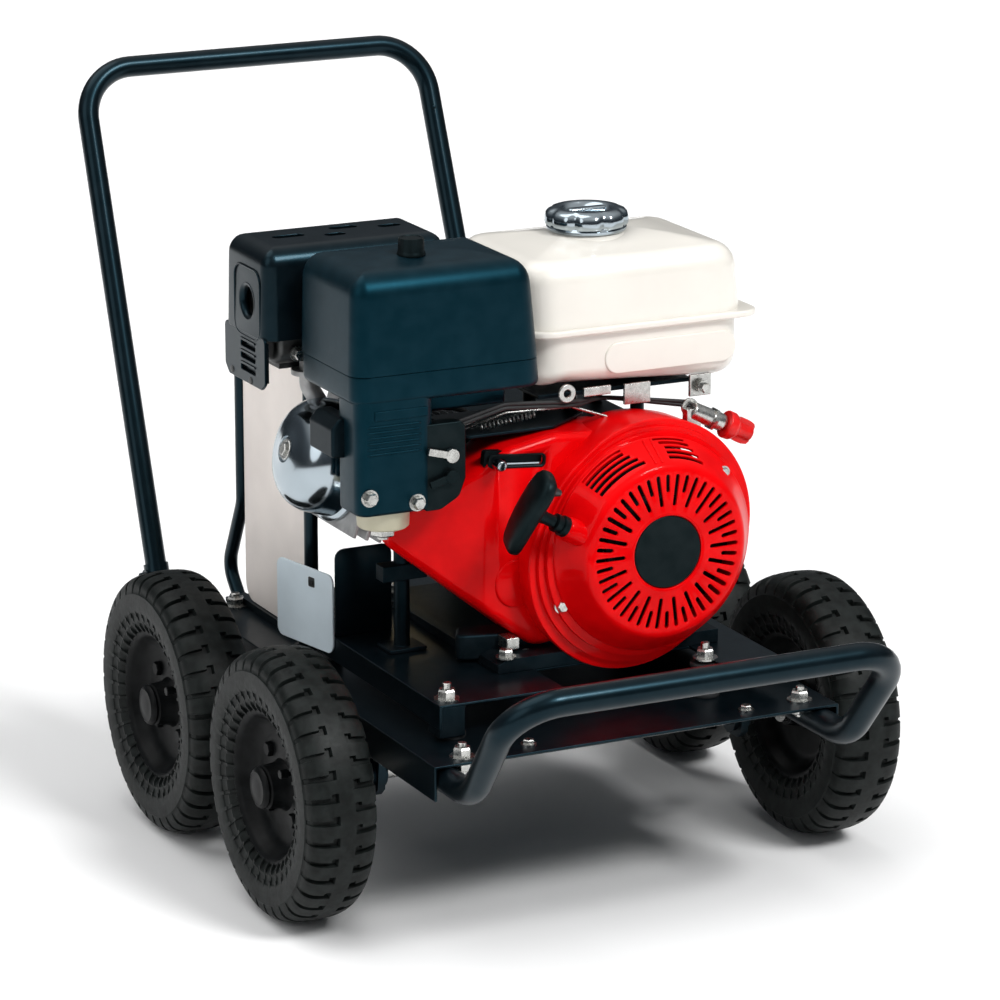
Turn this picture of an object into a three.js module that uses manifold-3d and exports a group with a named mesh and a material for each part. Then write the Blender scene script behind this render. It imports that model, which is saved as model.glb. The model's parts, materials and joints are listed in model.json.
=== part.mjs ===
// Petrol pressure washer: an engine and a high-pressure pump on a four-wheeled trolley.
// Millimetres. +Z is up, -Y is the front (recoil starter side), +X is the right-hand side.
// The origin is on the floor, at the middle of the machine's length and width.
import * as THREE from 'three';
import { mergeVertices } from 'three/addons/utils/BufferGeometryUtils.js';
import Module from 'manifold-3d';

const wasm = await Module();
wasm.setup();

// Clearance between pieces that touch, and the extra length of a cutting tool.
const GAP = 0.3;
const CUT = 2;
// Clearance round a many-sided shaft that turns in a many-sided bore.
const TURNING_GAP = 0.8;

// Wheels: 4.10/3.50-4 pneumatic tyres.
const WHEEL_RADIUS = 135;
const WHEEL_X = 290;
const AXLE_Y = 144;
const BEAD_RADIUS = 76.5;
const AXLE_RADIUS = 10;

// Trolley.
const RAIL_X = 203;
const RAIL_Z = 178;
const RAIL_RADIUS = 13.5;
const TRAY_HALF_WIDTH = 220;
const TRAY_TOP = 195;
const PLATE_TOP = 233;
const SHEET = 3;
const BUMPER_Y = -460;
const BUMPER_Z = 291;
const BUMPER_X = 208;
const LOW_BEND_Y = -369;
const HANDLE_RADIUS = 11.5;
const HANDLE_TOP = 708;
const HOOP_X = -170;
const HOOP_RADIUS = 7.5;

// Engine: the crankshaft runs along Y, the cylinder points to the left and slightly up.
const CRANK_X = 68;
const CRANK_Z = 350;
const CYLINDER_TILT = THREE.MathUtils.degToRad(16);
const CYLINDER_Y = -33;
const BASE_TOP = 247;
const CASE_FRONT = -128;
const CASE_BACK = 70;
const DRUM_X = 61;
const DRUM_RADIUS = 109;
const DRUM_DROP = 16;
const DRUM_FRONT = -212;
const DISC_FRONT = -245;

// The model is drawn with the wheels centred on Y = 0, then moved so that the origin is mid-length.
const MID_LENGTH = 70.86;

const group = new THREE.Group();
group.name = 'pressure_washer';

// ---------------------------------------------------------------- materials

const paint = (color, roughness, metalness = 0) => ({ color, roughness, metalness });
const FRAME_BLACK = paint(0x141b22, 0.4, 0.3);
const CHROME = paint(0xd4d8dc, 0.15, 1);
const ZINC = paint(0xa9adb0, 0.4, 0.9);
const STEEL = paint(0x8d9398, 0.35, 0.9);
const CAST = paint(0x8f9190, 0.6, 0.7);
const BLOCK_BLACK = paint(0x1b2227, 0.55, 0.4);
const RED = paint(0xd00a0e, 0.25, 0.1);
const TANK_WHITE = paint(0xece8e0, 0.35, 0.1);
const COVER_BLACK = paint(0x14232c, 0.45);
const TYRE_BLACK = paint(0x1f2422, 0.85);
const RIM_BLACK = paint(0x101416, 0.5, 0.4);
const PLASTIC_BLACK = paint(0x15191c, 0.5);
const CREAM = paint(0xcdc9aa, 0.5);
const BEIGE = paint(0xb9aca5, 0.6);
const PALE_BLUE = paint(0xa5b4be, 0.4);
const BRASS = paint(0xb99a55, 0.35, 1);

// ------------------------------------------------------------------ helpers

// Six times the volume enclosed by a mesh: negative when the faces point inwards.
function signedVolume(position, index) {
  const [a, b, c] = [new THREE.Vector3(), new THREE.Vector3(), new THREE.Vector3()];
  let sum = 0;
  for (let i = 0; i < index.length; i += 3) {
    a.fromBufferAttribute(position, index[i]);
    b.fromBufferAttribute(position, index[i + 1]);
    c.fromBufferAttribute(position, index[i + 2]);
    sum += a.dot(b.cross(c));
  }
  return sum;
}

// Turns a three.js geometry into a solid that can be cut and joined.
function solid(geometry) {
  geometry.deleteAttribute('normal');
  geometry.deleteAttribute('uv');
  const merged = mergeVertices(geometry, 1e-4);
  const source = merged.index.array;
  const index = [];
  for (let i = 0; i < source.length; i += 3) {
    const [a, b, c] = [source[i], source[i + 1], source[i + 2]];
    if (a !== b && b !== c && c !== a) {
      index.push(a, b, c);
    }
  }
  if (signedVolume(merged.attributes.position, index) < 0) {
    index.reverse();
  }
  return new wasm.Manifold(new wasm.Mesh({
    numProp: 3,
    vertProperties: Float32Array.from(merged.attributes.position.array),
    triVerts: Uint32Array.from(index),
  }));
}

function join(first, ...others) {
  return others.reduce((whole, piece) => whole.add(piece), first);
}

function cut(first, ...others) {
  return others.reduce((whole, piece) => whole.subtract(piece), first);
}

// Adds a finished piece to the model under its own name.
function addPiece(name, shape, look) {
  const result = shape.getMesh();
  const geometry = new THREE.BufferGeometry();
  geometry.setAttribute('position', new THREE.BufferAttribute(result.vertProperties, 3));
  geometry.setIndex(new THREE.BufferAttribute(result.triVerts, 1));
  geometry.translate(0, -MID_LENGTH, 0);
  geometry.computeVertexNormals();
  const mesh = new THREE.Mesh(geometry, new THREE.MeshStandardMaterial(look));
  mesh.name = name;
  group.add(mesh);
}

function box(x0, x1, y0, y1, z0, z1) {
  const geometry = new THREE.BoxGeometry(x1 - x0, y1 - y0, z1 - z0);
  return solid(geometry.translate((x0 + x1) / 2, (y0 + y1) / 2, (z0 + z1) / 2));
}

// Turns a geometry drawn along its own Y axis so that it runs along the given direction.
function aim(geometry, direction, at) {
  const turn = new THREE.Quaternion();
  turn.setFromUnitVectors(new THREE.Vector3(0, 1, 0), new THREE.Vector3(...direction).normalize());
  return geometry.applyQuaternion(turn).translate(...at);
}

// A round bar from one point to another.
function bar(from, to, radius, sides = 16) {
  const start = new THREE.Vector3(...from);
  const end = new THREE.Vector3(...to);
  const along = end.clone().sub(start);
  const middle = start.clone().add(end).multiplyScalar(0.5);
  const geometry = new THREE.CylinderGeometry(radius, radius, along.length(), sides);
  return solid(aim(geometry, along.toArray(), middle.toArray()));
}

// A solid of revolution. The profile is a list of [radius, distance along the axis].
function revolve(profile, direction, at, sides = 24) {
  const points = profile.map(([radius, height]) => new THREE.Vector2(radius, height));
  points.push(points[0].clone());
  return solid(aim(new THREE.LatheGeometry(points, sides), direction, at));
}

function outline(points) {
  return new THREE.Shape(points.map(([x, y]) => new THREE.Vector2(x, y)));
}

function roundedRect(x0, x1, y0, y1, radius) {
  const shape = new THREE.Shape();
  shape.moveTo(x0 + radius, y0);
  shape.absarc(x1 - radius, y0 + radius, radius, -Math.PI / 2, 0);
  shape.absarc(x1 - radius, y1 - radius, radius, 0, Math.PI / 2);
  shape.absarc(x0 + radius, y1 - radius, radius, Math.PI / 2, Math.PI);
  shape.absarc(x0 + radius, y0 + radius, radius, Math.PI, Math.PI * 1.5);
  return shape;
}

// Slabs: a flat outline given a thickness along one axis.
const ALONG_X = new THREE.Matrix4().makeBasis(
  new THREE.Vector3(0, 1, 0), new THREE.Vector3(0, 0, 1), new THREE.Vector3(1, 0, 0));

function extrude(shape, depth, bevel = 0) {
  return new THREE.ExtrudeGeometry(shape, {
    depth: depth - 2 * bevel,
    bevelEnabled: bevel > 0,
    bevelThickness: bevel,
    bevelSize: bevel,
    bevelOffset: -bevel,
    bevelSegments: 2,
    curveSegments: 2,
  }).translate(0, 0, bevel);
}

// The outline holds (y, z) points and the slab runs from x0 to x1.
function slabX(shape, x0, x1, bevel = 0) {
  return solid(extrude(shape, x1 - x0, bevel).applyMatrix4(ALONG_X).translate(x0, 0, 0));
}

// The outline holds (x, z) points and the slab runs from y0 to y1.
function slabY(shape, y0, y1, bevel = 0) {
  return solid(extrude(shape, y1 - y0, bevel).rotateX(Math.PI / 2).translate(0, y1, 0));
}

// The outline holds (x, y) points and the slab runs from z0 to z1.
function slabZ(shape, z0, z1, bevel = 0) {
  return solid(extrude(shape, z1 - z0, bevel).translate(0, 0, z0));
}

// A curve made of exact stations, so that straight runs cost nothing and bends stay round.
class StationCurve extends THREE.Curve {
  constructor(stations) {
    super();
    this.stations = stations;
  }

  getPointAt(u) {
    return this.stations[Math.round(u * (this.stations.length - 1))].point.clone();
  }

  getTangentAt(u) {
    return this.stations[Math.round(u * (this.stations.length - 1))].tangent.clone();
  }
}

// Rounds the corners of a run of straight lines into bends, each with its own radius.
function bend(corners, radii, stepsPerBend = 4) {
  const points = corners.map((corner) => new THREE.Vector3(...corner));
  const heading = (i) => points[i + 1].clone().sub(points[i]).normalize();
  const stations = [{ point: points[0], tangent: heading(0) }];
  for (let i = 1; i < points.length - 1; i += 1) {
    const before = heading(i - 1);
    const after = heading(i);
    const turn = before.angleTo(after);
    const axis = before.clone().cross(after).normalize();
    const radius = radii[i - 1];
    const trim = radius * Math.tan(turn / 2);
    const start = points[i].clone().addScaledVector(before, -trim);
    const inward = axis.clone().cross(before);
    const centre = start.clone().addScaledVector(inward, radius);
    for (let step = 0; step <= stepsPerBend; step += 1) {
      const angle = (turn * step) / stepsPerBend;
      const point = start.clone().sub(centre).applyAxisAngle(axis, angle).add(centre);
      stations.push({ point, tangent: before.clone().applyAxisAngle(axis, angle) });
    }
  }
  const last = points.length - 1;
  stations.push({ point: points[last], tangent: heading(last - 1) });
  return stations;
}

// A round tube (drawn as a solid bar) that follows the stations.
function pipe(stations, radius, sides = 10) {
  const section = new THREE.Shape();
  section.absarc(0, 0, radius, 0, Math.PI * 2);
  return solid(new THREE.ExtrudeGeometry(section, {
    steps: stations.length - 1,
    curveSegments: sides / 2,
    extrudePath: new StationCurve(stations),
  }));
}

const mirrored = (points) => points.map(([x, y, z]) => [-x, y, z]).reverse();

// ------------------------------------------------------------------- wheels

const TYRE_HALF_PROFILE = [[BEAD_RADIUS, 26], [84, 33], [105, 37], [123, 35], [132, 30]];

function tyre(x, y) {
  const far = TYRE_HALF_PROFILE.map(([radius, side]) => [radius, -side]).reverse();
  const profile = [...TYRE_HALF_PROFILE, [WHEEL_RADIUS, 0], ...far];
  return revolve(profile, [1, 0, 0], [x, y, WHEEL_RADIUS], 20);
}

function rim(x, y, outward) {
  const barrel = BEAD_RADIUS - GAP;
  const bore = AXLE_RADIUS + GAP;
  const profile = [[bore, -30], [bore, 30], [20, 30], [23, 9], [60, 5], [70, 24], [barrel, 27],
    [barrel, -27], [70, -24], [60, -3], [20, -5], [20, -30]];
  return revolve(profile, [outward, 0, 0], [x, y, WHEEL_RADIUS], 20);
}

function hubCap(x, y, outward) {
  const bore = AXLE_RADIUS + GAP;
  const profile = [[0, 38], [12, 37], [20, 33], [21, 30 + GAP], [bore, 30 + GAP], [bore, 34], [0, 34]];
  return revolve(profile, [outward, 0, 0], [x, y, WHEEL_RADIUS], 12);
}

const CORNERS = [['front_left', -1, -1], ['front_right', 1, -1], ['rear_left', -1, 1], ['rear_right', 1, 1]];
for (const [corner, side, end] of CORNERS) {
  addPiece(`tyre_${corner}`, tyre(side * WHEEL_X, end * AXLE_Y), TYRE_BLACK);
  addPiece(`rim_${corner}`, rim(side * WHEEL_X, end * AXLE_Y, side), RIM_BLACK);
  addPiece(`hub_cap_${corner}`, hubCap(side * WHEEL_X, end * AXLE_Y, side), RIM_BLACK);
}

// ------------------------------------------------------------------ trolley

// A shouldered axle: the shoulders keep the wheels off the trolley.
function axle(y) {
  const end = WHEEL_X + 33.5;
  const shoulder = WHEEL_X - 30 - GAP;
  const half = [[AXLE_RADIUS, end], [AXLE_RADIUS, shoulder], [16, shoulder], [16, shoulder - 6],
    [AXLE_RADIUS, shoulder - 6]];
  const other = half.map(([radius, x]) => [radius, -x]).reverse();
  return revolve([[0, end], ...half, ...other, [0, -end]], [1, 0, 0], [0, y, WHEEL_RADIUS], 12);
}
addPiece('front_axle', axle(-AXLE_Y), ZINC);
addPiece('rear_axle', axle(AXLE_Y), ZINC);

// The push handle leans back: where its leg is at a given height.
const handleLeg = (side, z) => [side * (213 - 0.013 * z), 316.6 + 0.405 * z, z];
const SOCKET_TOP = 204;
const HANDLE_FOOT = 186;

// One long tube: sockets for the handle at the back, two rails, and the bumper bar at the front.
// A hanger plate stands over each axle end.
function chassisTube() {
  const side = [handleLeg(1, SOCKET_TOP), handleLeg(1, RAIL_Z), [RAIL_X, 270, RAIL_Z],
    [RAIL_X, LOW_BEND_Y, RAIL_Z], [BUMPER_X, BUMPER_Y, BUMPER_Z]];
  const corners = [...mirrored(side).reverse(), ...[...side].reverse()];
  let frame = pipe(bend(corners, [26, 120, 55, 50, 50, 55, 120, 26], 3), RAIL_RADIUS);
  for (const x of [-RAIL_X, RAIL_X]) {
    for (const y of [-AXLE_Y, AXLE_Y]) {
      frame = frame.add(box(x - 4, x + 4, y - 22, y + 22, WHEEL_RADIUS - 20, RAIL_Z));
    }
  }
  for (const y of [-AXLE_Y, AXLE_Y]) {
    frame = frame.subtract(bar([-WHEEL_X, y, WHEEL_RADIUS], [WHEEL_X, y, WHEEL_RADIUS], AXLE_RADIUS + GAP));
  }
  for (const end of [-1, 1]) {
    const socket = bar(handleLeg(end, HANDLE_FOOT - GAP), handleLeg(end, SOCKET_TOP + 20), HANDLE_RADIUS + GAP);
    frame = frame.subtract(socket);
  }
  return frame;
}
addPiece('chassis_tube', chassisTube(), FRAME_BLACK);

// An upside-down sheet-metal tray: a flat top with a flange down each long side.
function foldedTray(halfWidth, front, back, top, drop) {
  const block = box(-halfWidth, halfWidth, front, back, top - drop, top);
  const inside = halfWidth - SHEET;
  return block.subtract(box(-inside, inside, front - CUT, back + CUT, top - drop - CUT, top - SHEET));
}
addPiece('chassis_tray', foldedTray(TRAY_HALF_WIDTH, -322, 262, TRAY_TOP, 35), FRAME_BLACK);

// The engine plate has a notch at the front that lets the fan housing hang down into it.
const notch = box(-52, 120, -300, -197, PLATE_TOP - 30, PLATE_TOP + CUT);
const enginePlate = foldedTray(186, -262, 58, PLATE_TOP, 25).subtract(notch);
addPiece('engine_plate', enginePlate, FRAME_BLACK);

// Rubber blocks between the tray and the engine plate.
const MOUNTS = [['front_left', -166, -244], ['front_right', 115, -239], ['rear_left', -166, 38],
  ['rear_right', 166, 38]];
for (const [corner, x, y] of MOUNTS) {
  const block = box(x - 15, x + 15, y - 15, y + 15, TRAY_TOP + GAP, PLATE_TOP - SHEET - GAP);
  addPiece(`rubber_mount_${corner}`, block, TYRE_BLACK);
}

function pushHandle() {
  const corners = [handleLeg(-1, HANDLE_FOOT), handleLeg(-1, HANDLE_TOP), handleLeg(1, HANDLE_TOP),
    handleLeg(1, HANDLE_FOOT)];
  return pipe(bend(corners, [57, 57], 5), HANDLE_RADIUS);
}
addPiece('push_handle', pushHandle(), FRAME_BLACK);

// A hoop of thin tube on the left of the tray, with a bottom rail and two feet.
function sideHoop() {
  const floor = TRAY_TOP + GAP;
  const corners = [[HOOP_X, 262, floor], [HOOP_X, 292, 226], [HOOP_X, 251, 306], [HOOP_X, 251, 500],
    [HOOP_X, 75, 500], [HOOP_X, 75, floor]];
  const loop = pipe(bend(corners, corners.slice(2).map(() => 26)), HOOP_RADIUS, 8);
  const rail = box(HOOP_X - 5, HOOP_X + 5, 75, 262, floor, floor + 8);
  const feet = [75, 256].map((y) => box(HOOP_X - 16, HOOP_X + 14, y - 11, y + 11, floor, floor + 4));
  const below = box(HOOP_X - 40, HOOP_X + 40, 40, 320, floor - 40, floor);
  return cut(join(loop, rail, ...feet), below);
}
addPiece('side_hoop', sideHoop(), FRAME_BLACK);

function sidePanel() {
  const front = 75 + HOOP_RADIUS + GAP;
  const back = 251 - HOOP_RADIUS - GAP;
  const shape = roundedRect(front, back, TRAY_TOP + 9, 500 - HOOP_RADIUS - GAP, 22);
  return slabX(shape, HOOP_X - 1.5, HOOP_X + 1.5);
}
addPiece('side_panel', sidePanel(), BEIGE);

// A small guard plate that stands at an angle to the left edge of the engine plate.
function splashPlate() {
  const plate = extrude(roundedRect(0, 95, -41, 41, 10), 2.5).applyMatrix4(ALONG_X);
  plate.translate(-2.5, 0, 0).rotateZ(THREE.MathUtils.degToRad(12));
  return solid(plate.translate(-186 - GAP, -18, 257));
}
addPiece('splash_plate', splashPlate(), PALE_BLUE);

// An upright plate with a folded foot, under the cylinder.
function uprightPlate() {
  const floor = PLATE_TOP + GAP;
  const sheet = slabY(roundedRect(-184, -122, floor - 20, 324, 10), -16, -13);
  const trimmed = sheet.subtract(box(-190, -110, -40, 10, floor - 30, floor));
  return trimmed.add(box(-184, -122, -16, 5, floor, floor + SHEET));
}
addPiece('upright_plate', uprightPlate(), FRAME_BLACK);

// A post with a cross head that carries the overhanging cylinder.
function supportPost() {
  const floor = PLATE_TOP + GAP;
  const [x, y] = [-140, -78];
  return join(
    bar([x, y, floor], [x, y, 338], 8, 12),
    box(x - 24, x + 24, y - 9, y + 9, 306, 322),
    box(x - 20, x + 20, y - 16, y + 16, floor, floor + 4));
}
addPiece('support_post', supportPost(), BLOCK_BLACK);

// ------------------------------------------------------------------- engine

// Places something drawn along +X from the crankshaft so that it lies along the cylinder.
function alongCylinder(geometry) {
  const [sine, cosine] = [Math.sin(CYLINDER_TILT), Math.cos(CYLINDER_TILT)];
  const turn = new THREE.Matrix4().makeBasis(
    new THREE.Vector3(-cosine, 0, sine), new THREE.Vector3(0, -1, 0), new THREE.Vector3(sine, 0, cosine));
  return solid(geometry.applyMatrix4(turn).translate(CRANK_X, CYLINDER_Y, CRANK_Z));
}

function cylinderBlock(from, to, size) {
  const geometry = new THREE.BoxGeometry(to - from, size, size);
  return alongCylinder(geometry.translate((from + to) / 2, 0, 0));
}

const FIN_THICKNESS = 4;
const CYLINDER_END = 212;
const HEAD_END = 262;

// A square barrel with square cooling fins, between two distances from the crankshaft.
function finned(from, to, barrel, fin, pitch) {
  let shape = cylinderBlock(from, to, barrel);
  for (let at = to - FIN_THICKNESS; at > from + pitch; at -= pitch) {
    shape = shape.add(cylinderBlock(at, at + FIN_THICKNESS, fin));
  }
  return shape;
}

function crankBore(radius, from, to) {
  return bar([CRANK_X, from, CRANK_Z], [CRANK_X, to, CRANK_Z], radius);
}

function engineBlock() {
  const shape = outline([[-20, 240], [152, 240], [152, 410], [118, 445], [14, 445], [-20, 418]]);
  const crankcase = slabY(shape, CASE_FRONT, CASE_BACK);
  const base = slabY(outline([[-92, PLATE_TOP + GAP], [152, PLATE_TOP + GAP], [152, BASE_TOP],
    [-80, BASE_TOP], [-92, BASE_TOP - 5]]), -198, CASE_BACK);
  const cylinder = finned(60, CYLINDER_END, 96, 124, 15);
  const plugHole = bar([-22, -60, 292], [0, -60, 292], 9 + GAP, 12);
  const shaftHole = crankBore(20 + TURNING_GAP, CASE_FRONT - CUT, CASE_BACK + CUT);
  return cut(join(crankcase, base, cylinder), shaftHole, plugHole);
}
addPiece('engine_block', engineBlock(), BLOCK_BLACK);
addPiece('cylinder_head', finned(CYLINDER_END + GAP, HEAD_END, 112, 130, 14), CAST);

function rockerCover() {
  const start = HEAD_END + GAP;
  const profile = [[0, start], [61, start], [61, start + 5], [58, start + 8], [57, 300], [51, 315],
    [37, 324], [0, 328]];
  const points = profile.map(([radius, along]) => new THREE.Vector2(radius, along));
  points.push(points[0].clone());
  return alongCylinder(new THREE.LatheGeometry(points, 20).rotateZ(-Math.PI / 2));
}
addPiece('rocker_cover', rockerCover(), CHROME);

function oilDipstick() {
  return join(
    bar([-19, -60, 292], [-2, -60, 292], 9, 12),
    bar([-34, -60, 292], [-20 - GAP, -60, 292], 13, 12),
    box(-46, -30, -64, -56, 284, 300));
}
addPiece('oil_dipstick', join(oilDipstick(), bar([-22, -60, 292], [-18, -60, 292], 9, 12)), PLASTIC_BLACK);

addPiece('spark_plug_boot', join(
  bar([-146, 32.5, 405], [-146, 48, 405], 8, 12),
  bar([-146, 40, 405], [-146, 40, 436], 6, 12)), PLASTIC_BLACK);

// ------------------------------------------------- flywheel, fan and starter

function crankshaft() {
  const profile = [[0, -207], [12, -207], [12, CASE_FRONT - 14], [20, CASE_FRONT - 14], [20, CASE_BACK + 4],
    [12.5, CASE_BACK + 4], [12.5, 132], [0, 132]];
  return revolve(profile, [0, 1, 0], [CRANK_X, 0, CRANK_Z], 16);
}
addPiece('crankshaft', crankshaft(), STEEL);

// A solid disc with a ring of fan blades on its front.
function flywheel() {
  const bore = 12 + GAP;
  let wheel = revolve([[bore, -178], [bore, -146], [92, -146], [92, -172], [60, -178]],
    [0, 1, 0], [CRANK_X, 0, CRANK_Z], 24);
  const blades = 12;
  for (let i = 0; i < blades; i += 1) {
    const blade = new THREE.BoxGeometry(30, 26, 4).translate(72, -183, 0);
    blade.rotateY((i * 2 * Math.PI) / blades).translate(CRANK_X, 0, CRANK_Z);
    wheel = wheel.add(solid(blade));
  }
  return wheel;
}
addPiece('flywheel', flywheel(), CAST);

// Offsets a clockwise or anticlockwise outline inwards, for hollow shells.
function inset(points, distance) {
  return points.map((point, i) => {
    const at = new THREE.Vector2(...point);
    const before = at.clone().sub(new THREE.Vector2(...points.at(i - 1))).normalize();
    const after = new THREE.Vector2(...points[(i + 1) % points.length]).sub(at).normalize();
    const left = new THREE.Vector2(-before.y - after.y, before.x + after.x).normalize();
    const reach = distance / Math.max(0.4, left.dot(new THREE.Vector2(-before.y, before.x)));
    return at.addScaledVector(left, reach).toArray();
  });
}

// The fan housing: a drum round the flywheel and a duct that leads the air to the cylinder.
const DUCT_FRONT = -174;
const DUCT = [[60, BASE_TOP + GAP], [60, 456], [-18, 462], [-72, 452], [-140, 405], [-178, 400],
  [-178, 357], [-42, BASE_TOP + GAP]];

// The housing is a little taller than it is wide: two overlapping discs, one below the other.
function drum(radius, from, to) {
  const upper = bar([DRUM_X, from, CRANK_Z], [DRUM_X, to, CRANK_Z], radius, 24);
  const [x, z] = [DRUM_X - 8, CRANK_Z - DRUM_DROP];
  const lower = bar([x, from, z], [x, to, z], radius, 24);
  return upper.add(lower);
}

function fanShroud() {
  const wall = 3;
  const back = CASE_FRONT - 2;
  const ductBack = -101;
  const duct = slabY(outline(DUCT), DUCT_FRONT, ductBack).subtract(box(-200, -162, -200, -122, 300, 420));
  const behind = box(-23, 200, back, 0, 200, 500);
  const hollowDrum = drum(DRUM_RADIUS - 4, DRUM_FRONT + wall, back + CUT);
  const hollowDuct = slabY(outline(inset(DUCT, wall)), DUCT_FRONT + wall, ductBack + CUT)
    .subtract(box(-200, -162 + wall, -200, -122 + wall, 300, 420));
  const airInlet = crankBore(97, DRUM_FRONT - CUT, DRUM_FRONT + 10);
  const foot = box(-200, 200, -199 + GAP, 0, 200, BASE_TOP + GAP);
  const leverSlot = box(-90, -26, DUCT_FRONT - CUT, DUCT_FRONT + 10, 436.5, 446.5);
  const outer = drum(DRUM_RADIUS, DRUM_FRONT, back).add(duct);
  return cut(outer, behind, hollowDrum, hollowDuct, airInlet, foot, leverSlot);
}
addPiece('fan_shroud', fanShroud(), RED);

// The rope leaves the starter through a guide, up and to the left.
const ROPE_Y = -228;
const ROPE_ANGLE = THREE.MathUtils.degToRad(29);
const ropeAt = (s) => [-36 - s * Math.cos(ROPE_ANGLE), ROPE_Y, 384 + s * Math.sin(ROPE_ANGLE)];

function recoilCover() {
  const shell = revolve([[0, DISC_FRONT], [87, DISC_FRONT], [92, -241], [95, -226], [102, -218],
    [106, -217], [106, DRUM_FRONT - GAP], [100, DRUM_FRONT - GAP], [92, -223], [88.5, -239],
    [85, -242], [0, -242]], [0, 1, 0], [CRANK_X, 0, CRANK_Z], 24);
  const post = crankBore(6, -243, -214);
  const guide = bar(ropeAt(-25), ropeAt(8), 12, 12);
  let cover = join(shell, post, guide);
  const slots = 22;
  for (let i = 0; i < slots; i += 1) {
    const slot = new THREE.BoxGeometry(30, 12, 4.6).translate(61, DISC_FRONT + 1, 0);
    slot.rotateY((i * 2 * Math.PI) / slots).translate(CRANK_X, 0, CRANK_Z);
    cover = cover.subtract(solid(slot));
  }
  return cut(cover, bar(ropeAt(-40), ropeAt(20), 4, 10));
}
addPiece('recoil_cover', recoilCover(), RED);
addPiece('recoil_centre_disc', crankBore(36, DISC_FRONT - 3, DISC_FRONT - GAP), PLASTIC_BLACK);

// The grooved rope drum, turning on the post inside the starter cover.
addPiece('recoil_pulley', revolve([[6 + GAP, -238], [6 + GAP, -216], [54, -216], [54, -220], [45, -224],
  [45, -232], [54, -236], [54, -238]], [0, 1, 0], [CRANK_X, 0, CRANK_Z], 20), PLASTIC_BLACK);

addPiece('recoil_rope', bar(ropeAt(-30), ropeAt(16), 2.5, 8), TANK_WHITE);

function recoilGrip() {
  const profile = [[0, -45], [7, -44], [11, -36], [11.5, -18], [9, 0], [11.5, 18], [11, 36], [7, 44],
    [0, 45]];
  const handle = revolve(profile, [0.3, -0.4, 0.87], ropeAt(36), 12);
  const neck = bar(ropeAt(12), ropeAt(34), 6.5, 12);
  return join(handle, neck).subtract(bar(ropeAt(5), ropeAt(16 + GAP), 2.5 + GAP, 8));
}
addPiece('recoil_grip', recoilGrip(), PLASTIC_BLACK);

// --------------------------------------------------------------- fuel system

const TANK_BOTTOM = 493;
const TANK_SEAM = 557;
const TANK_TOP = 632;
const CAP_AT = [70, -66];

function fuelTank() {
  const upper = slabZ(roundedRect(-32, 204, -158, 18, 32), TANK_BOTTOM, TANK_TOP, 26);
  const above = box(-80, 230, -220, 60, TANK_SEAM, TANK_TOP + 20);
  const flange = slabZ(roundedRect(-40, 215, -165, 25, 30), TANK_SEAM - 4, TANK_SEAM + 4);
  const lower = slabZ(roundedRect(-28, 201, -155, 15, 30), TANK_BOTTOM, TANK_TOP, 22);
  const below = box(-80, 230, -220, 60, TANK_BOTTOM - 20, TANK_SEAM);
  const neck = bar([...CAP_AT, TANK_TOP - 10], [...CAP_AT, TANK_TOP + 5], 34, 20);
  const filler = bar([...CAP_AT, TANK_TOP - 40], [...CAP_AT, TANK_TOP + 20], 26, 16);
  return cut(join(upper.intersect(above), flange, lower.intersect(below), neck), filler);
}
addPiece('fuel_tank', fuelTank(), TANK_WHITE);

function fuelCap() {
  const seat = TANK_TOP + 5 + GAP;
  const profile = [[0, seat - 12], [25, seat - 12], [25, seat], [42, seat], [42, seat + 6], [36, seat + 10],
    [36, seat + 15], [28, seat + 19], [0, seat + 20]];
  return revolve(profile, [0, 0, 1], [...CAP_AT, 0], 24);
}
addPiece('fuel_cap', fuelCap(), CHROME);

// The steel shelf between the crankcase and the tank.
function tankBracket() {
  let bracket = box(-20, 150, -140, 0, TANK_BOTTOM - GAP - 4, TANK_BOTTOM - GAP);
  for (const [x, y] of [[30, -110], [105, -110], [30, -20], [105, -20]]) {
    bracket = bracket.add(bar([x, y, 445 + GAP], [x, y, TANK_BOTTOM - 3], 7, 12));
  }
  return bracket;
}
addPiece('tank_bracket', tankBracket(), BLOCK_BLACK);

function carburettor() {
  return join(
    box(-149.4, -122, -180, -106, 426, 470),
    bar([-136, -184, 457], [-136, -170, 457], 7, 12),
    bar([-136, -184, 436], [-136, -170, 436], 6, 12));
}
addPiece('carburettor', carburettor(), BLOCK_BLACK);

function floatBowl() {
  return revolve([[0, 371], [12, 371], [14, 374], [14, 385], [26, 386], [27, 389], [27, 404], [0, 404]],
    [0, 0, 1], [-192, -148, 0], 16);
}
addPiece('float_bowl', floatBowl(), CREAM);

// A flat lever on a hub, seen from the front, at the given height and pointing angle.
function frontLever(z, degrees, length) {
  const arm = new THREE.BoxGeometry(length, 3, 7).translate(length / 2, 0, 0);
  arm.rotateY(THREE.MathUtils.degToRad(-degrees)).translate(-136, -187, z);
  return join(bar([-136, -184 - GAP, z], [-136, -189, z], 7, 12), solid(arm));
}
addPiece('choke_lever', frontLever(457, 165, 26), ZINC);
addPiece('fuel_valve_lever', frontLever(436, 195, 24), PLASTIC_BLACK);

// -------------------------------------------------------------- air cleaner

const LID_BOTTOM = 543;
const LID_TOP = 645;
const KNOB_AT = [-152, -130];

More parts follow.
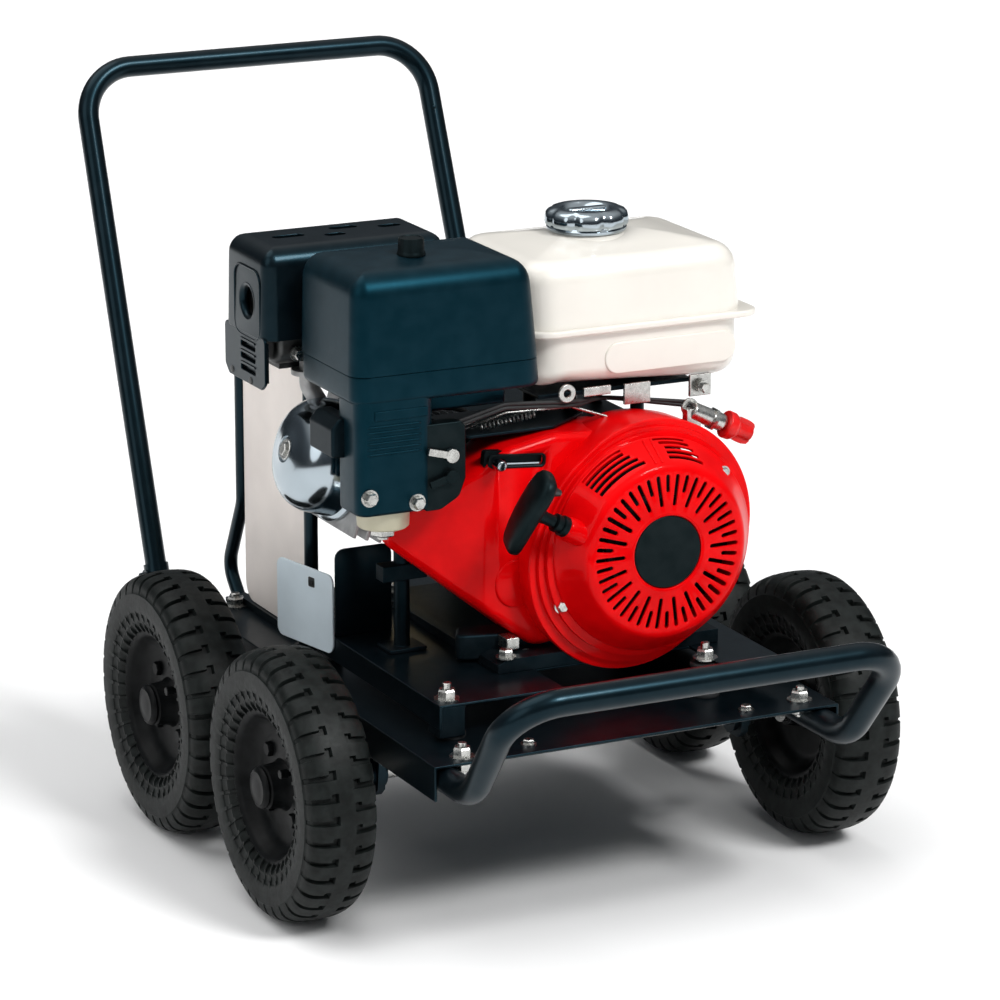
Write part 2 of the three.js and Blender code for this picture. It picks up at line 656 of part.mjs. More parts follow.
function airCleanerCover() {
  const block = slabZ(roundedRect(-236, -43, -184, -46, 20), LID_BOTTOM - 30, LID_TOP, 16);
  const hollow = slabZ(roundedRect(-232, -47, -180, -50, 16), LID_BOTTOM - 34, LID_TOP - 4, 12);
  const below = box(-240, -40, -190, -40, LID_BOTTOM - 60, LID_BOTTOM);
  return cut(block, hollow, below, bar([...KNOB_AT, LID_TOP - 10], [...KNOB_AT, LID_TOP + 5], 5 + GAP, 12));
}
addPiece('air_cleaner_cover', airCleanerCover(), COVER_BLACK);

function airCleanerBody() {
  const top = LID_BOTTOM - GAP;
  const tray = slabZ(roundedRect(-234, -45, -182, -48, 16), 514, top);
  const elbow = slabZ(roundedRect(-232, -150, -182, -150, 10), 404 + GAP, 516);
  const core = box(-214, -150, -152, -104, 404 + GAP, 516);
  const post = bar([...KNOB_AT, 530], [...KNOB_AT, LID_TOP + 8], 5, 12);
  return join(tray, elbow, core, post);
}
addPiece('air_cleaner_body', airCleanerBody(), COVER_BLACK);

function airCleanerKnob() {
  const [bottom, top] = [LID_TOP + GAP, LID_TOP + 17];
  const knob = bar([...KNOB_AT, bottom], [...KNOB_AT, top], 17, 12);
  return knob.subtract(bar([...KNOB_AT, bottom - CUT], [...KNOB_AT, LID_TOP + 8 + GAP], 5 + GAP, 12));
}
addPiece('air_cleaner_knob', airCleanerKnob(), PLASTIC_BLACK);

// ------------------------------------------------------------------ exhaust

function muffler() {
  const can = slabZ(roundedRect(-250, -78, -20, 54, 24), 518, 618, 12);
  const port = bar([-150, 5, 486], [-150, 5, 530], 13, 12);
  const outlet = bar([-257, 10, 581], [-240, 10, 581], 14, 12);
  const bore = bar([-262, 10, 581], [-245, 10, 581], 11, 12);
  return cut(join(can, port, outlet), bore);
}
addPiece('muffler', muffler(), STEEL);

// A sheet-metal guard over the muffler, open below, with a deeper skirt on the left.
function mufflerGuard() {
  const block = slabZ(roundedRect(-264, -66, -36, 68, 20), 470, 640, 15);
  const hollow = slabZ(roundedRect(-261, -69, -33, 65, 17), 460, 637, 12);
  const belowFront = box(-257, 0, -60, 100, 440, 549);
  const belowSkirt = box(-300, 0, -60, 100, 440, 498);
  let guard = cut(block, hollow, belowFront, belowSkirt);
  guard = guard.subtract(bar([-270, 10, 581], [-250, 10, 581], 17, 16));
  for (const z of [513, 525, 537]) {
    guard = guard.subtract(box(-270, -250, -10, 26, z - 3, z + 3));
  }
  for (const [x, y, long] of [[-215, 20, 34], [-170, 8, 22], [-150, 34, 30], [-105, 22, 24]]) {
    guard = guard.subtract(slabZ(roundedRect(x - long / 2, x + long / 2, y - 6, y + 6, 5.9), 620, 640));
  }
  return guard;
}
addPiece('muffler_guard', mufflerGuard(), FRAME_BLACK);

// ----------------------------------------------------------------- controls

// The speed lever: a hub inside the duct and an arm out through the slot.
const THROTTLE_PIVOT = [-58, -143];
function throttleLever() {
  const hub = bar([...THROTTLE_PIVOT, 434], [...THROTTLE_PIVOT, 447], 6, 12);
  const arm = bar([...THROTTLE_PIVOT, 441.5], [-81, -184, 441.5], 3, 8);
  const knob = bar([-79, -180, 441.5], [-85, -191, 441.5], 6, 12);
  return join(hub, arm, knob);
}
addPiece('throttle_lever', throttleLever(), CHROME);

const SWITCH_AXIS = [0.9, -0.06, -0.43];
const switchAt = (s) => SWITCH_AXIS.map((step, i) => [146, -172, 462][i] + s * step);
addPiece('engine_switch_body', join(
  bar(switchAt(-14), switchAt(26 - GAP), 9, 12),
  box(130, 142, -178, -164.5, 438, 466)), PLASTIC_BLACK);
addPiece('engine_switch_knob', join(
  bar(switchAt(26), switchAt(38), 14, 12),
  bar(switchAt(38), switchAt(58), 8, 8)), RED);

// --------------------------------------------------------------------- pump

const PUMP_FRONT = CASE_BACK + GAP;
function pumpCrankcase() {
  const flange = crankBore(66, PUMP_FRONT, 86);
  const body = slabY(roundedRect(-4, 140, 284, 424, 22), 85, 205, 8);
  const shaft = crankBore(21, PUMP_FRONT - CUT, 76);
  return cut(join(flange, body), shaft, crankBore(12.5 + TURNING_GAP, 70, 134));
}
addPiece('pump_crankcase', pumpCrankcase(), CAST);

function pumpHead() {
  let head = slabX(roundedRect(96, 194, 308, 402, 8), -80, -4 - GAP);
  for (const y of [115, 145, 175]) {
    head = head.add(bar([-56, y, 395], [-56, y, 414], 11, 8));
    head = head.add(bar([-92, y, 332], [-70, y, 332], 11, 8));
  }
  return head.add(bar([-24, 145, 395], [-24, 145, 432], 10, 12));
}
addPiece('pump_head', pumpHead(), BRASS);
addPiece('unloader_knob', bar([-24, 145, 432 + GAP], [-24, 145, 456], 16, 12), PLASTIC_BLACK);

function nozzle(x, z, outer, inner, length) {
  const [start, end] = [194 + GAP, 194 + length];
  const profile = [[0, start], [outer + 3, start], [outer + 3, start + 12], [outer, start + 12],
    [outer, end], [inner, end], [inner, start + 16], [0, start + 16]];
  return revolve(profile, [0, 1, 0], [x, 0, z], 16);
}
addPiece('water_inlet', nozzle(-52, 338, 15, 10, 44), BRASS);
addPiece('pressure_outlet', nozzle(-30, 378, 10, 5, 38), ZINC);

export default group;
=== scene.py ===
"""The looks of a petrol pressure washer on a four-wheeled trolley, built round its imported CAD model."""
import json
import math

import bmesh
import bpy
from mathutils import Matrix, Quaternion, Vector
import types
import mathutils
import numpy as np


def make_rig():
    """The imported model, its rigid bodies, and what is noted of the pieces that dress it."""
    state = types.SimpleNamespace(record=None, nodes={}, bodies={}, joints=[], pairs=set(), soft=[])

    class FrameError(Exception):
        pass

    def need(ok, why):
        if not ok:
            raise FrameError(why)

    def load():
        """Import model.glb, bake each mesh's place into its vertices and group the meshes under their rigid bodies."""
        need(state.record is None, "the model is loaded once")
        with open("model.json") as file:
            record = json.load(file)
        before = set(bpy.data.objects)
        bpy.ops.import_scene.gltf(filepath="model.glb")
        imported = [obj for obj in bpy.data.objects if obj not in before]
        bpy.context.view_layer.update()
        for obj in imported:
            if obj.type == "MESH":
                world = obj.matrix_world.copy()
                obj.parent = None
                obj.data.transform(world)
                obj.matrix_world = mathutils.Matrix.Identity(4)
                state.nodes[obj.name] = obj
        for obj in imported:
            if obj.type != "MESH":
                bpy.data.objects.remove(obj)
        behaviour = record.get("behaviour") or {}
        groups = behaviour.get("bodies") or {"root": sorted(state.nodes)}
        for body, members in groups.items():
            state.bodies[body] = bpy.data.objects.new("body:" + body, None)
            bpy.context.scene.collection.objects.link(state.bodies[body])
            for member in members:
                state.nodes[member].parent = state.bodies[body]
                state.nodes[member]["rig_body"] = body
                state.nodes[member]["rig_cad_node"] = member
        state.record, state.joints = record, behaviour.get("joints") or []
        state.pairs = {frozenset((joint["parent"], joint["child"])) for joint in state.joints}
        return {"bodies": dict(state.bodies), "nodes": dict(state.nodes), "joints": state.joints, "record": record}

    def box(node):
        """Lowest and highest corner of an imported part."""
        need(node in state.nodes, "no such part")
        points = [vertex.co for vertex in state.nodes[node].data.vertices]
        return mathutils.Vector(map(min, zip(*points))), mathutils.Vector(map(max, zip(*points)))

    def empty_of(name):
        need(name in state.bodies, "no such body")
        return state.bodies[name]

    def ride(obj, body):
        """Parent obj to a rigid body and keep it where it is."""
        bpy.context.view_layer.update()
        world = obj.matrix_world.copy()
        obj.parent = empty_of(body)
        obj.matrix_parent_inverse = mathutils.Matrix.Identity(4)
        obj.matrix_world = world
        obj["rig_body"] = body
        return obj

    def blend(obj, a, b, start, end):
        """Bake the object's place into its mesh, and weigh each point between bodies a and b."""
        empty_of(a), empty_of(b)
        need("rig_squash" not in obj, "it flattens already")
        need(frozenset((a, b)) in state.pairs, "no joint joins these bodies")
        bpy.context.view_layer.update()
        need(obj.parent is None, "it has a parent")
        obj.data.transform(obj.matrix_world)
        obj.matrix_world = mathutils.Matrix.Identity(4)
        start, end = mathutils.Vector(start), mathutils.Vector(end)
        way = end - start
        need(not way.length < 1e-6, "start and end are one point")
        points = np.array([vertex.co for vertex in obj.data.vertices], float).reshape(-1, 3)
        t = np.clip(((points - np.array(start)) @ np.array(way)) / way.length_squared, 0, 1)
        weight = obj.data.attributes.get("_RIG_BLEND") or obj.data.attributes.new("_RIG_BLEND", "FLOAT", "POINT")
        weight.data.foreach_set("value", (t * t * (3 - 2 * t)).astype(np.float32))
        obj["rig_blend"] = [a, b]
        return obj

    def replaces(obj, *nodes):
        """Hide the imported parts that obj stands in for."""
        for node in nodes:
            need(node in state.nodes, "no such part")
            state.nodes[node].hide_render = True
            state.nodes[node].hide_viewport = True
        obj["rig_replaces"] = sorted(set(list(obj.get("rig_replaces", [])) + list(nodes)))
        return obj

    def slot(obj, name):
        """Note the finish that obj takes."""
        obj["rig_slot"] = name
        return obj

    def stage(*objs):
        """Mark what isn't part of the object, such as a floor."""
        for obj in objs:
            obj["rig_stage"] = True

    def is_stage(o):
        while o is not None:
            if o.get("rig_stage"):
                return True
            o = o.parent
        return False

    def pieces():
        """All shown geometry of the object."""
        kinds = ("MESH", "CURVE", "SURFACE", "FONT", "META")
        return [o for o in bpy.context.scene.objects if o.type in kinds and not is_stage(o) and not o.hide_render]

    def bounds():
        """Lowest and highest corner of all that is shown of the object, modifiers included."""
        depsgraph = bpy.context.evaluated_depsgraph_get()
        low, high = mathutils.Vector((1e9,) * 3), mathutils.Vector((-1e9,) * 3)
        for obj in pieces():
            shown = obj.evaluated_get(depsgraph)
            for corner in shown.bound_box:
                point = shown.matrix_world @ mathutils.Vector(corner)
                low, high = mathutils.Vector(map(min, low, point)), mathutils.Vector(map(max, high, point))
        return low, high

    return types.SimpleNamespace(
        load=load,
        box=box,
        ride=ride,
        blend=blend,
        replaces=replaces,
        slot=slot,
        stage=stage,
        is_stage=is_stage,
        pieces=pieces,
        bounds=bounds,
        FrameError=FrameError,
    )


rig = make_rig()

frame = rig.load()
cad_low, cad_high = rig.bounds()
SLOT_OF = {part["node"]: part["material_slot"] for part in frame["record"]["subparts"]}

MM = 0.001
X, Y, Z = Vector((1, 0, 0)), Vector((0, 1, 0)), Vector((0, 0, 1))


def centre(node):
    low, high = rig.box(node)
    return (low + high) / 2


AXLE_MID_Y = (centre("tyre_front_left").y + centre("tyre_rear_left").y) / 2


def at(x, y, z):
    """A point given in millimetres, with y counted from midway between the axles."""
    return Vector((x * MM, AXLE_MID_Y + y * MM, z * MM))


# ------------------------------------------------------------------ camera

def make_camera():
    azimuth, elevation, distance = math.radians(-26.173), math.radians(15.603), 4.7094
    target = at(6.9, 0, 348.43)
    back = Vector((math.sin(azimuth) * math.cos(elevation),
                   -math.cos(azimuth) * math.cos(elevation), math.sin(elevation)))
    data = bpy.data.cameras.new("camera")
    data.lens = 167.0
    data.sensor_width = 36.0
    data.clip_end = 100
    camera = bpy.data.objects.new("camera", data)
    camera.location = target + back * distance
    camera.rotation_mode = "QUATERNION"
    camera.rotation_quaternion = (-back).to_track_quat("-Z", "Y")
    bpy.context.scene.collection.objects.link(camera)
    bpy.context.scene.camera = camera


make_camera()


# --------------------------------------------------------------- materials

MATERIALS = {}
COAT_ROUGHNESS = 0.05


def finish_of(slot, colour, roughness, metallic=0.0, coat=0.0, tint=0.08, mottle=60, grain=900,
              bump=0.02, spread=0.08, specular=0.5, sheen_of=(1, 1, 1)):
    """A painted, moulded or metal surface: uneven colour and gloss at two scales, and a fine relief."""
    material = bpy.data.materials.new(slot)
    material.use_nodes = True
    tree = material.node_tree
    shader = tree.nodes["Principled BSDF"]
    shader.inputs["Metallic"].default_value = metallic
    shader.inputs["Coat Weight"].default_value = coat
    shader.inputs["Coat Roughness"].default_value = COAT_ROUGHNESS
    shader.inputs["Specular IOR Level"].default_value = specular
    shader.inputs["Specular Tint"].default_value = (*sheen_of, 1)
    place = tree.nodes.new("ShaderNodeTexCoord")

    def noise(scale, detail):
        node = tree.nodes.new("ShaderNodeTexNoise")
        node.inputs["Scale"].default_value = scale
        node.inputs["Detail"].default_value = detail
        tree.links.new(place.outputs["Object"], node.inputs["Vector"])
        return node.outputs["Fac"]

    blotches, fine = noise(mottle, 4), noise(grain, 3)
    ramp = tree.nodes.new("ShaderNodeValToRGB")
    dark = [c * (1 - tint) for c in colour]
    light = [min(1.0, c * (1 + tint) + 0.01 * tint) for c in colour]
    ramp.color_ramp.elements[0].position = 0.35
    ramp.color_ramp.elements[1].position = 0.65
    ramp.color_ramp.elements[0].color = (*dark, 1)
    ramp.color_ramp.elements[1].color = (*light, 1)
    tree.links.new(blotches, ramp.inputs["Fac"])
    tree.links.new(ramp.outputs["Color"], shader.inputs["Base Color"])
    gloss = tree.nodes.new("ShaderNodeMapRange")
    gloss.inputs["To Min"].default_value = max(0.02, roughness - spread / 2)
    gloss.inputs["To Max"].default_value = roughness + spread / 2
    tree.links.new(noise(mottle * 2.7, 5), gloss.inputs["Value"])
    tree.links.new(gloss.outputs["Result"], shader.inputs["Roughness"])
    relief = tree.nodes.new("ShaderNodeBump")
    relief.inputs["Strength"].default_value = 0.6
    relief.inputs["Distance"].default_value = bump * MM
    tree.links.new(fine, relief.inputs["Height"])
    tree.links.new(relief.outputs["Normal"], shader.inputs["Normal"])
    MATERIALS[slot] = material


def make_materials():
    teal = (0.24, 0.60, 0.80)
    finish_of("frame_black", (0.0011, 0.0028, 0.0042), 0.29, coat=0.05, tint=0.15, bump=0.03, spread=0.05,
              specular=0.30, sheen_of=teal)
    finish_of("block_black", (0.0015, 0.0030, 0.0042), 0.45, tint=0.3, grain=700, bump=0.12, specular=0.22,
              sheen_of=teal)
    finish_of("cover_plastic", (0.0012, 0.0085, 0.0130), 0.38, tint=0.15, grain=1600, bump=0.08, specular=0.28,
              sheen_of=(0.08, 0.60, 0.90))
    finish_of("black_plastic", (0.0018, 0.0030, 0.0034), 0.42, tint=0.3, grain=1500, bump=0.08, specular=0.18,
              sheen_of=(0.5, 0.9, 1.0))
    finish_of("red_paint", (0.72, 0.0004, 0.0016), 0.34, coat=0.14, specular=0.08, tint=0.10, mottle=25,
              bump=0.025, sheen_of=(1.0, 0.2, 0.2))
    finish_of("red_plastic", (0.62, 0.006, 0.006), 0.35, coat=0.2, tint=0.15, bump=0.04, specular=0.2)
    finish_of("tank_white", (0.80, 0.765, 0.70), 0.30, coat=0.6, tint=0.03, mottle=12, bump=0.03)
    finish_of("tyre_black", (0.0042, 0.0062, 0.0058), 0.50, tint=0.35, mottle=90, grain=1200, bump=0.14,
              spread=0.2, specular=0.16)
    finish_of("rim_black", (0.0012, 0.0018, 0.0022), 0.42, tint=0.4, bump=0.05, specular=0.10)
    finish_of("mount_rubber", (0.010, 0.011, 0.012), 0.6, tint=0.3, bump=0.1)
    finish_of("chrome", (0.40, 0.46, 0.50), 0.14, metallic=1, tint=0.03, mottle=40, bump=0.006, spread=0.06)
    finish_of("zinc", (0.50, 0.50, 0.48), 0.28, metallic=1, tint=0.15, mottle=140, bump=0.05, spread=0.2)
    finish_of("steel", (0.085, 0.088, 0.088), 0.45, metallic=1, tint=0.2, mottle=90, bump=0.08, spread=0.2)
    finish_of("cast_alloy", (0.40, 0.40, 0.40), 0.52, metallic=0.85, tint=0.15, grain=550, bump=0.35)
    finish_of("brass", (0.62, 0.43, 0.17), 0.30, metallic=1, tint=0.12, bump=0.05)
    finish_of("beige_paint", (0.86, 0.79, 0.74), 0.55, tint=0.05, mottle=14, bump=0.05)
    finish_of("pale_blue_paint", (0.66, 0.76, 0.82), 0.35, coat=0.2, tint=0.07, mottle=12, bump=0.04)
    finish_of("cream_plastic", (0.60, 0.565, 0.42), 0.42, tint=0.05, bump=0.05)
    finish_of("rope", (0.62, 0.60, 0.52), 0.85, tint=0.25, mottle=900, grain=1400, bump=0.5)


make_materials()


# ------------------------------------------------------------ mesh helpers

def object_of(name, bm):
    """Puts a bmesh into the scene as an object, and frees it."""
    mesh = bpy.data.meshes.new(name)
    bm.to_mesh(mesh)
    bm.free()
    thing = bpy.data.objects.new(name, mesh)
    bpy.context.scene.collection.objects.link(thing)
    return thing


def round_edges(piece, width, segments=2, limit=50):
    """Rounds the edges of a piece that are sharper than limit degrees."""
    rounding = piece.modifiers.new("rounding", "BEVEL")
    rounding.width = width * MM
    rounding.segments = segments
    rounding.limit_method = "ANGLE"
    rounding.angle_limit = math.radians(limit)
    return rounding


def add(name, bm, slot, body="trolley", stands_for=(), bevel=0.0, segments=2, smooth=40, limit=32):
    """Turns a bmesh into a finished piece: recalculated, smoothed, edge-rounded, riding on its body."""
    bmesh.ops.remove_doubles(bm, verts=bm.verts, dist=1e-6)
    bmesh.ops.recalc_face_normals(bm, faces=bm.faces)
    piece = object_of(name, bm)
    mesh = piece.data
    mesh.materials.append(MATERIALS[slot])
    mesh.shade_smooth()
    mesh.set_sharp_from_angle(angle=math.radians(smooth))
    if bevel:
        round_edges(piece, bevel, segments, limit).miter_outer = "MITER_ARC"
        normals = piece.modifiers.new("normals", "WEIGHTED_NORMAL")
        normals.keep_sharp = True
        mesh.shade_smooth()
        mesh.set_sharp_from_angle(angle=math.radians(180))
    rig.ride(piece, body)
    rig.slot(piece, slot)
    if stands_for:
        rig.replaces(piece, *stands_for)
    return piece


def carve(piece, cutter_bm):
    """Applies a piece's modifiers, then cuts the closed solids of a bmesh out of it."""
    bmesh.ops.recalc_face_normals(cutter_bm, faces=cutter_bm.faces)
    cutter = object_of("cutter", cutter_bm)
    cut = piece.modifiers.new("cut", "BOOLEAN")
    cut.operation = "DIFFERENCE"
    cut.solver = "EXACT"
    cut.use_self = True
    cut.object = cutter
    bpy.context.view_layer.update()
    shown = piece.evaluated_get(bpy.context.evaluated_depsgraph_get())
    mesh = bpy.data.meshes.new_from_object(shown)
    piece.modifiers.clear()
    piece.data = mesh
    mesh.shade_smooth()
    mesh.set_sharp_from_angle(angle=math.radians(40))
    bpy.data.objects.remove(cutter)


def frame_from(axis):
    """A rotation that carries +Z to the given axis."""
    return Vector(axis).normalized().to_track_quat("Z", "Y").to_matrix()


def lathe(bm, profile, origin, axis, steps=64):
    """Revolves (radius, along) millimetre pairs about an axis through a point."""
    turn = frame_from(axis)
    rings = []
    for radius, along in profile:
        if radius < 1e-6:
            rings.append([bm.verts.new(origin + turn @ Vector((0, 0, along * MM)))])
            continue
        ring = []
        for i in range(steps):
            angle = 2 * math.pi * i / steps
            point = Vector((radius * math.cos(angle), radius * math.sin(angle), along)) * MM
            ring.append(bm.verts.new(origin + turn @ point))
        rings.append(ring)
    for a, b in zip(rings, rings[1:]):
        for i in range(steps):
            j = (i + 1) % steps
            quad = [a[i % len(a)], a[j % len(a)], b[j % len(b)], b[i % len(b)]]
            corners = list(dict.fromkeys(quad))
            if len(corners) > 2:
                bm.faces.new(corners)
    return bm


def closed(profile):
    return profile + profile[:1]


def disc_of(radius, low, high):
    """The profile of a plain disc, for lathe."""
    return [(0, low), (radius, low), (radius, high), (0, high)]


def ring_of(inner, outer, low, high):
    """The profile of a plain ring, for lathe."""
    return closed([(inner, low), (outer, low), (outer, high), (inner, high)])


def rod(bm, start, end, radius, steps=24, chamfer=0.6):
    """A round bar between two points, with lightly chamfered ends."""
    length = (end - start).length / MM
    edge = min(chamfer, radius / 3, length / 3)
    profile = [(0, 0), (radius - edge, 0), (radius, edge), (radius, length - edge), (radius - edge, length),
               (0, length)]
    return lathe(bm, profile, start, end - start, steps)


def rounded_path(corners, radii, steps=10):
    """Replaces the corners of a run of straight lines by bends of the given radii, in millimetres."""
    path = [corners[0].copy()]
    for i in range(1, len(corners) - 1):
        before = (corners[i] - corners[i - 1]).normalized()
        after = (corners[i + 1] - corners[i]).normalized()
        turn = before.angle(after)
        if turn < 1e-4:
            continue
        radius = radii[i - 1] * MM
        trim = radius * math.tan(turn / 2)
        axis = before.cross(after).normalized()
        start = corners[i] - before * trim
        hub = start + axis.cross(before) * radius
        for k in range(steps + 1):
            path.append(hub + Quaternion(axis, turn * k / steps) @ (start - hub))
    path.append(corners[-1].copy())
    return path


def sweep(bm, path, radius, steps=24):
    """A round bar along a path, with closed ends and no twist."""
    tangents = []
    for i in range(len(path)):
        a, b = path[max(i - 1, 0)], path[min(i + 1, len(path) - 1)]
        tangents.append((b - a).normalized())
    side = tangents[0].orthogonal().normalized()
    rings = []
    for point, tangent in zip(path, tangents):
        side = (side - tangent * side.dot(tangent)).normalized()
        other = tangent.cross(side)
        turns = [2 * math.pi * k / steps for k in range(steps)]
        rings.append([bm.verts.new(point + (side * math.cos(turn) + other * math.sin(turn)) * (radius * MM))
                      for turn in turns])
    for a, b in zip(rings, rings[1:]):
        for k in range(steps):
            j = (k + 1) % steps
            bm.faces.new((a[k], a[j], b[j], b[k]))
    bm.faces.new(rings[0][::-1])
    bm.faces.new(rings[-1])
    return bm


def bent_bar(bm, corners, radii, radius, steps, bend_steps=8):
    """A round bar through (x, y, z) corners, bent at each one."""
    return sweep(bm, rounded_path([at(*corner) for corner in corners], radii, bend_steps), radius, steps)


def prism(bm, points, to_3d, low, high):
    """Extrudes a flat outline between two depths: to_3d(u, v, depth) places a point, in millimetres."""
    bottom = [bm.verts.new(to_3d(u, v, low)) for u, v in points]
    top = [bm.verts.new(to_3d(u, v, high)) for u, v in points]
    bm.faces.new(bottom[::-1])
    bm.faces.new(top)
    for i in range(len(points)):
        j = (i + 1) % len(points)
        bm.faces.new((bottom[i], bottom[j], top[j], top[i]))
    return bm


def facing_x(u, v, depth):
    return at(depth, u, v)


def facing_y(u, v, depth):
    return at(u, depth, v)


def facing_z(u, v, depth):
    return at(u, v, depth)


def rounded_rectangle(u0, u1, v0, v1, radius, steps=6):
    points = []
    for cu, cv, start in ((u1, v1, 0), (u0, v1, 90), (u0, v0, 180), (u1, v0, 270)):
        du = -radius if cu == u1 else radius
        dv = -radius if cv == v1 else radius
        for k in range(steps + 1):
            angle = math.radians(start + 90 * k / steps)
            points.append((cu + du + radius * math.cos(angle), cv + dv + radius * math.sin(angle)))
    return points


def block(bm, x0, x1, y0, y1, z0, z1):
    return prism(bm, [(x0, y0), (x1, y0), (x1, y1), (x0, y1)], facing_z, z0, z1)


def hexagon(bm, seat, axis, across, height):
    """A hexagon bolt head or nut standing on a seat, with its corners turned down."""
    turn = frame_from(axis)
    radius = across / math.sqrt(3)
    rings = []
    for size, along in ((1, 0), (1, height * 0.8), (0.86, height)):
        points = [Vector((radius * size * math.cos(math.pi * k / 3), radius * size * math.sin(math.pi * k / 3),
                          along)) for k in range(6)]
        rings.append([bm.verts.new(seat + turn @ (point * MM)) for point in points])
    for a, b in zip(rings, rings[1:]):
        for k in range(6):
            bm.faces.new((a[k], a[(k + 1) % 6], b[(k + 1) % 6], b[k]))
    bm.faces.new(rings[0][::-1])
    bm.faces.new(rings[-1])


WASHER = 1.6


def bolt(bm, seat, axis, across=13, height=7, stud=0.0):
    """A washer, a hexagon and, for a nut, the end of its stud."""
    axis = Vector(axis).normalized()
    lathe(bm, disc_of(across * 0.78, 0, WASHER), seat, axis, 24)
    hexagon(bm, seat + axis * WASHER * MM, axis, across, height)
    if stud:
        rod(bm, seat + axis * height * MM, seat + axis * (height + WASHER + stud) * MM, across * 0.28, 12)


def bolts_piece(name, seats, axis, across, height):
    """A piece of equal bolts, all facing the same way."""
    bm = bmesh.new()
    for seat in seats:
        bolt(bm, at(*seat), axis, across, height)
    add(name, bm, "zinc", smooth=30)


def flute(bm, hub, low, high, reach, squeeze):
    """Pulls a turned rim in towards its axis by squeeze(angle), between two heights and beyond a radius."""
    for vertex in bm.verts:
        local = vertex.co - hub
        if low < local.z / MM < high and math.hypot(local.x, local.y) > reach * MM:
            share = 1 - squeeze(math.atan2(local.y, local.x))
            vertex.co.x = hub.x + local.x * share
            vertex.co.y = hub.y + local.y * share


def ribs_of(count, depth):
    """Evenly spaced ribs round a knob, for flute."""
    return lambda turn: depth * (0.5 + 0.5 * math.cos(count * turn))


def copy_of(node):
    """The CAD node's own solid as a bmesh with its flat faces joined, ready for edge rounding."""
    bm = bmesh.new()
    bm.from_mesh(frame["nodes"][node].data)
    bmesh.ops.remove_doubles(bm, verts=bm.verts, dist=2e-5)
    bmesh.ops.dissolve_limit(bm, angle_limit=math.radians(1), verts=bm.verts, edges=bm.edges)
    return bm


def soften(node, body="trolley", bevel=1.0, segments=2):
    """Shows a CAD node's own shape with rounded edges."""
    return add(node + "_shape", copy_of(node), SLOT_OF[node], body, (node,), bevel, segments)


def loft(bm, rings, caps=True):
    """Joins rings of points with the same count by a skin, and closes both ends."""
    rows = [[bm.verts.new(point) for point in ring] for ring in rings]
    for a, b in zip(rows, rows[1:]):
        for i in range(len(a)):
            j = (i + 1) % len(a)
            bm.faces.new((a[i], a[j], b[j], b[i]))
    if caps:
        bm.faces.new(rows[0][::-1])
        bm.faces.new(rows[-1])
    return bm


SMALLEST_CORNER = 1.5


def cushion(bm, to_3d, u, v, depth, corner, low_round=0.0, high_round=0.0, taper=0.0, crown=0.0, steps=7):
    """A box with rounded sides and ends. Its sides lean in by taper towards the high end, which can bulge."""
    (u0, u1), (v0, v1), (low, high) = u, v, depth
    levels = []
    for k in range(steps + 1 if low_round else 1):
        angle = math.pi / 2 * k / steps if low_round else math.pi / 2
        levels.append((low_round * (1 - math.sin(angle)), low + low_round * (1 - math.cos(angle))))
    for k in range(steps + 1 if high_round else 1):
        angle = math.pi / 2 * k / steps if high_round else 0
        levels.append((high_round * (1 - math.cos(angle)), high - high_round * (1 - math.sin(angle))))
    rings = []
    for inset, level in levels:
        inset += taper * (level - low) / (high - low)
        outline = rounded_rectangle(u0 + inset, u1 - inset, v0 + inset, v1 - inset,
                                    max(corner - inset, SMALLEST_CORNER), steps)
        rings.append([to_3d(a, b, level) for a, b in outline])
    if crown:
        inset, level = levels[-1]
        inset += taper
        for share in (0.25, 0.5, 0.75, 0.93):
            reach = share * (min(u1 - u0, v1 - v0) / 2 - inset - 2)
            outline = rounded_rectangle(u0 + inset + reach, u1 - inset - reach, v0 + inset + reach,
                                        v1 - inset - reach, max((corner - inset) * (1 - share), 1.0), steps)
            rings.append([to_3d(a, b, level + crown * math.sin(share * math.pi / 2)) for a, b in outline])
    return loft(bm, rings)


def fillet(points, radii, steps=6):
    """Rounds the corners of a flat outline; radii is one number or one for each corner."""
    if not isinstance(radii, (list, tuple)):
        radii = [radii] * len(points)
    result = []
    for i, (x, y) in enumerate(points):
        a = Vector((points[i - 1][0] - x, points[i - 1][1] - y)).normalized()
        b = Vector((points[(i + 1) % len(points)][0] - x, points[(i + 1) % len(points)][1] - y)).normalized()
        half = a.angle(b) / 2
        if radii[i] <= 0 or abs(half - math.pi / 2) < 0.01:
            result.append((x, y))
            continue
        hub = Vector((x, y)) + (a + b).normalized() * radii[i] / math.sin(half)
        start = Vector((x, y)) + a * radii[i] / math.tan(half) - hub
        end = Vector((x, y)) + b * radii[i] / math.tan(half) - hub
        sweep_angle = start.angle_signed(end)
        for k in range(steps + 1):
            angle = -sweep_angle * k / steps
            result.append((hub.x + start.x * math.cos(angle) - start.y * math.sin(angle),
                           hub.y + start.x * math.sin(angle) + start.y * math.cos(angle)))
    return result


# ------------------------------------------------------------------ wheels

# Half of the tyre's section: (distance from the middle plane, radius), from the tread to the bead.
TYRE_HALF = [(4, 135), (8.2, 134.8), (9.4, 134.7), (14, 134.3), (15.2, 134.2), (20, 133.4), (25, 132.0),
             (29, 130.0), (32.2, 127.2), (34.4, 123.6), (35.4, 119.6), (36.0, 116.2), (37.0, 115.0),
             (37.4, 106), (36.6, 98), (35.8, 95.5), (34.8, 94.8), (33.2, 89), (33.4, 85.5), (31.5, 82),
             (28.5, 79), (26.4, 76.9)]
LUGS = 38
GROOVE_DEPTH = 5.0
GROOVE_SHARE = 0.26
HOOK_SHARE = 0.17


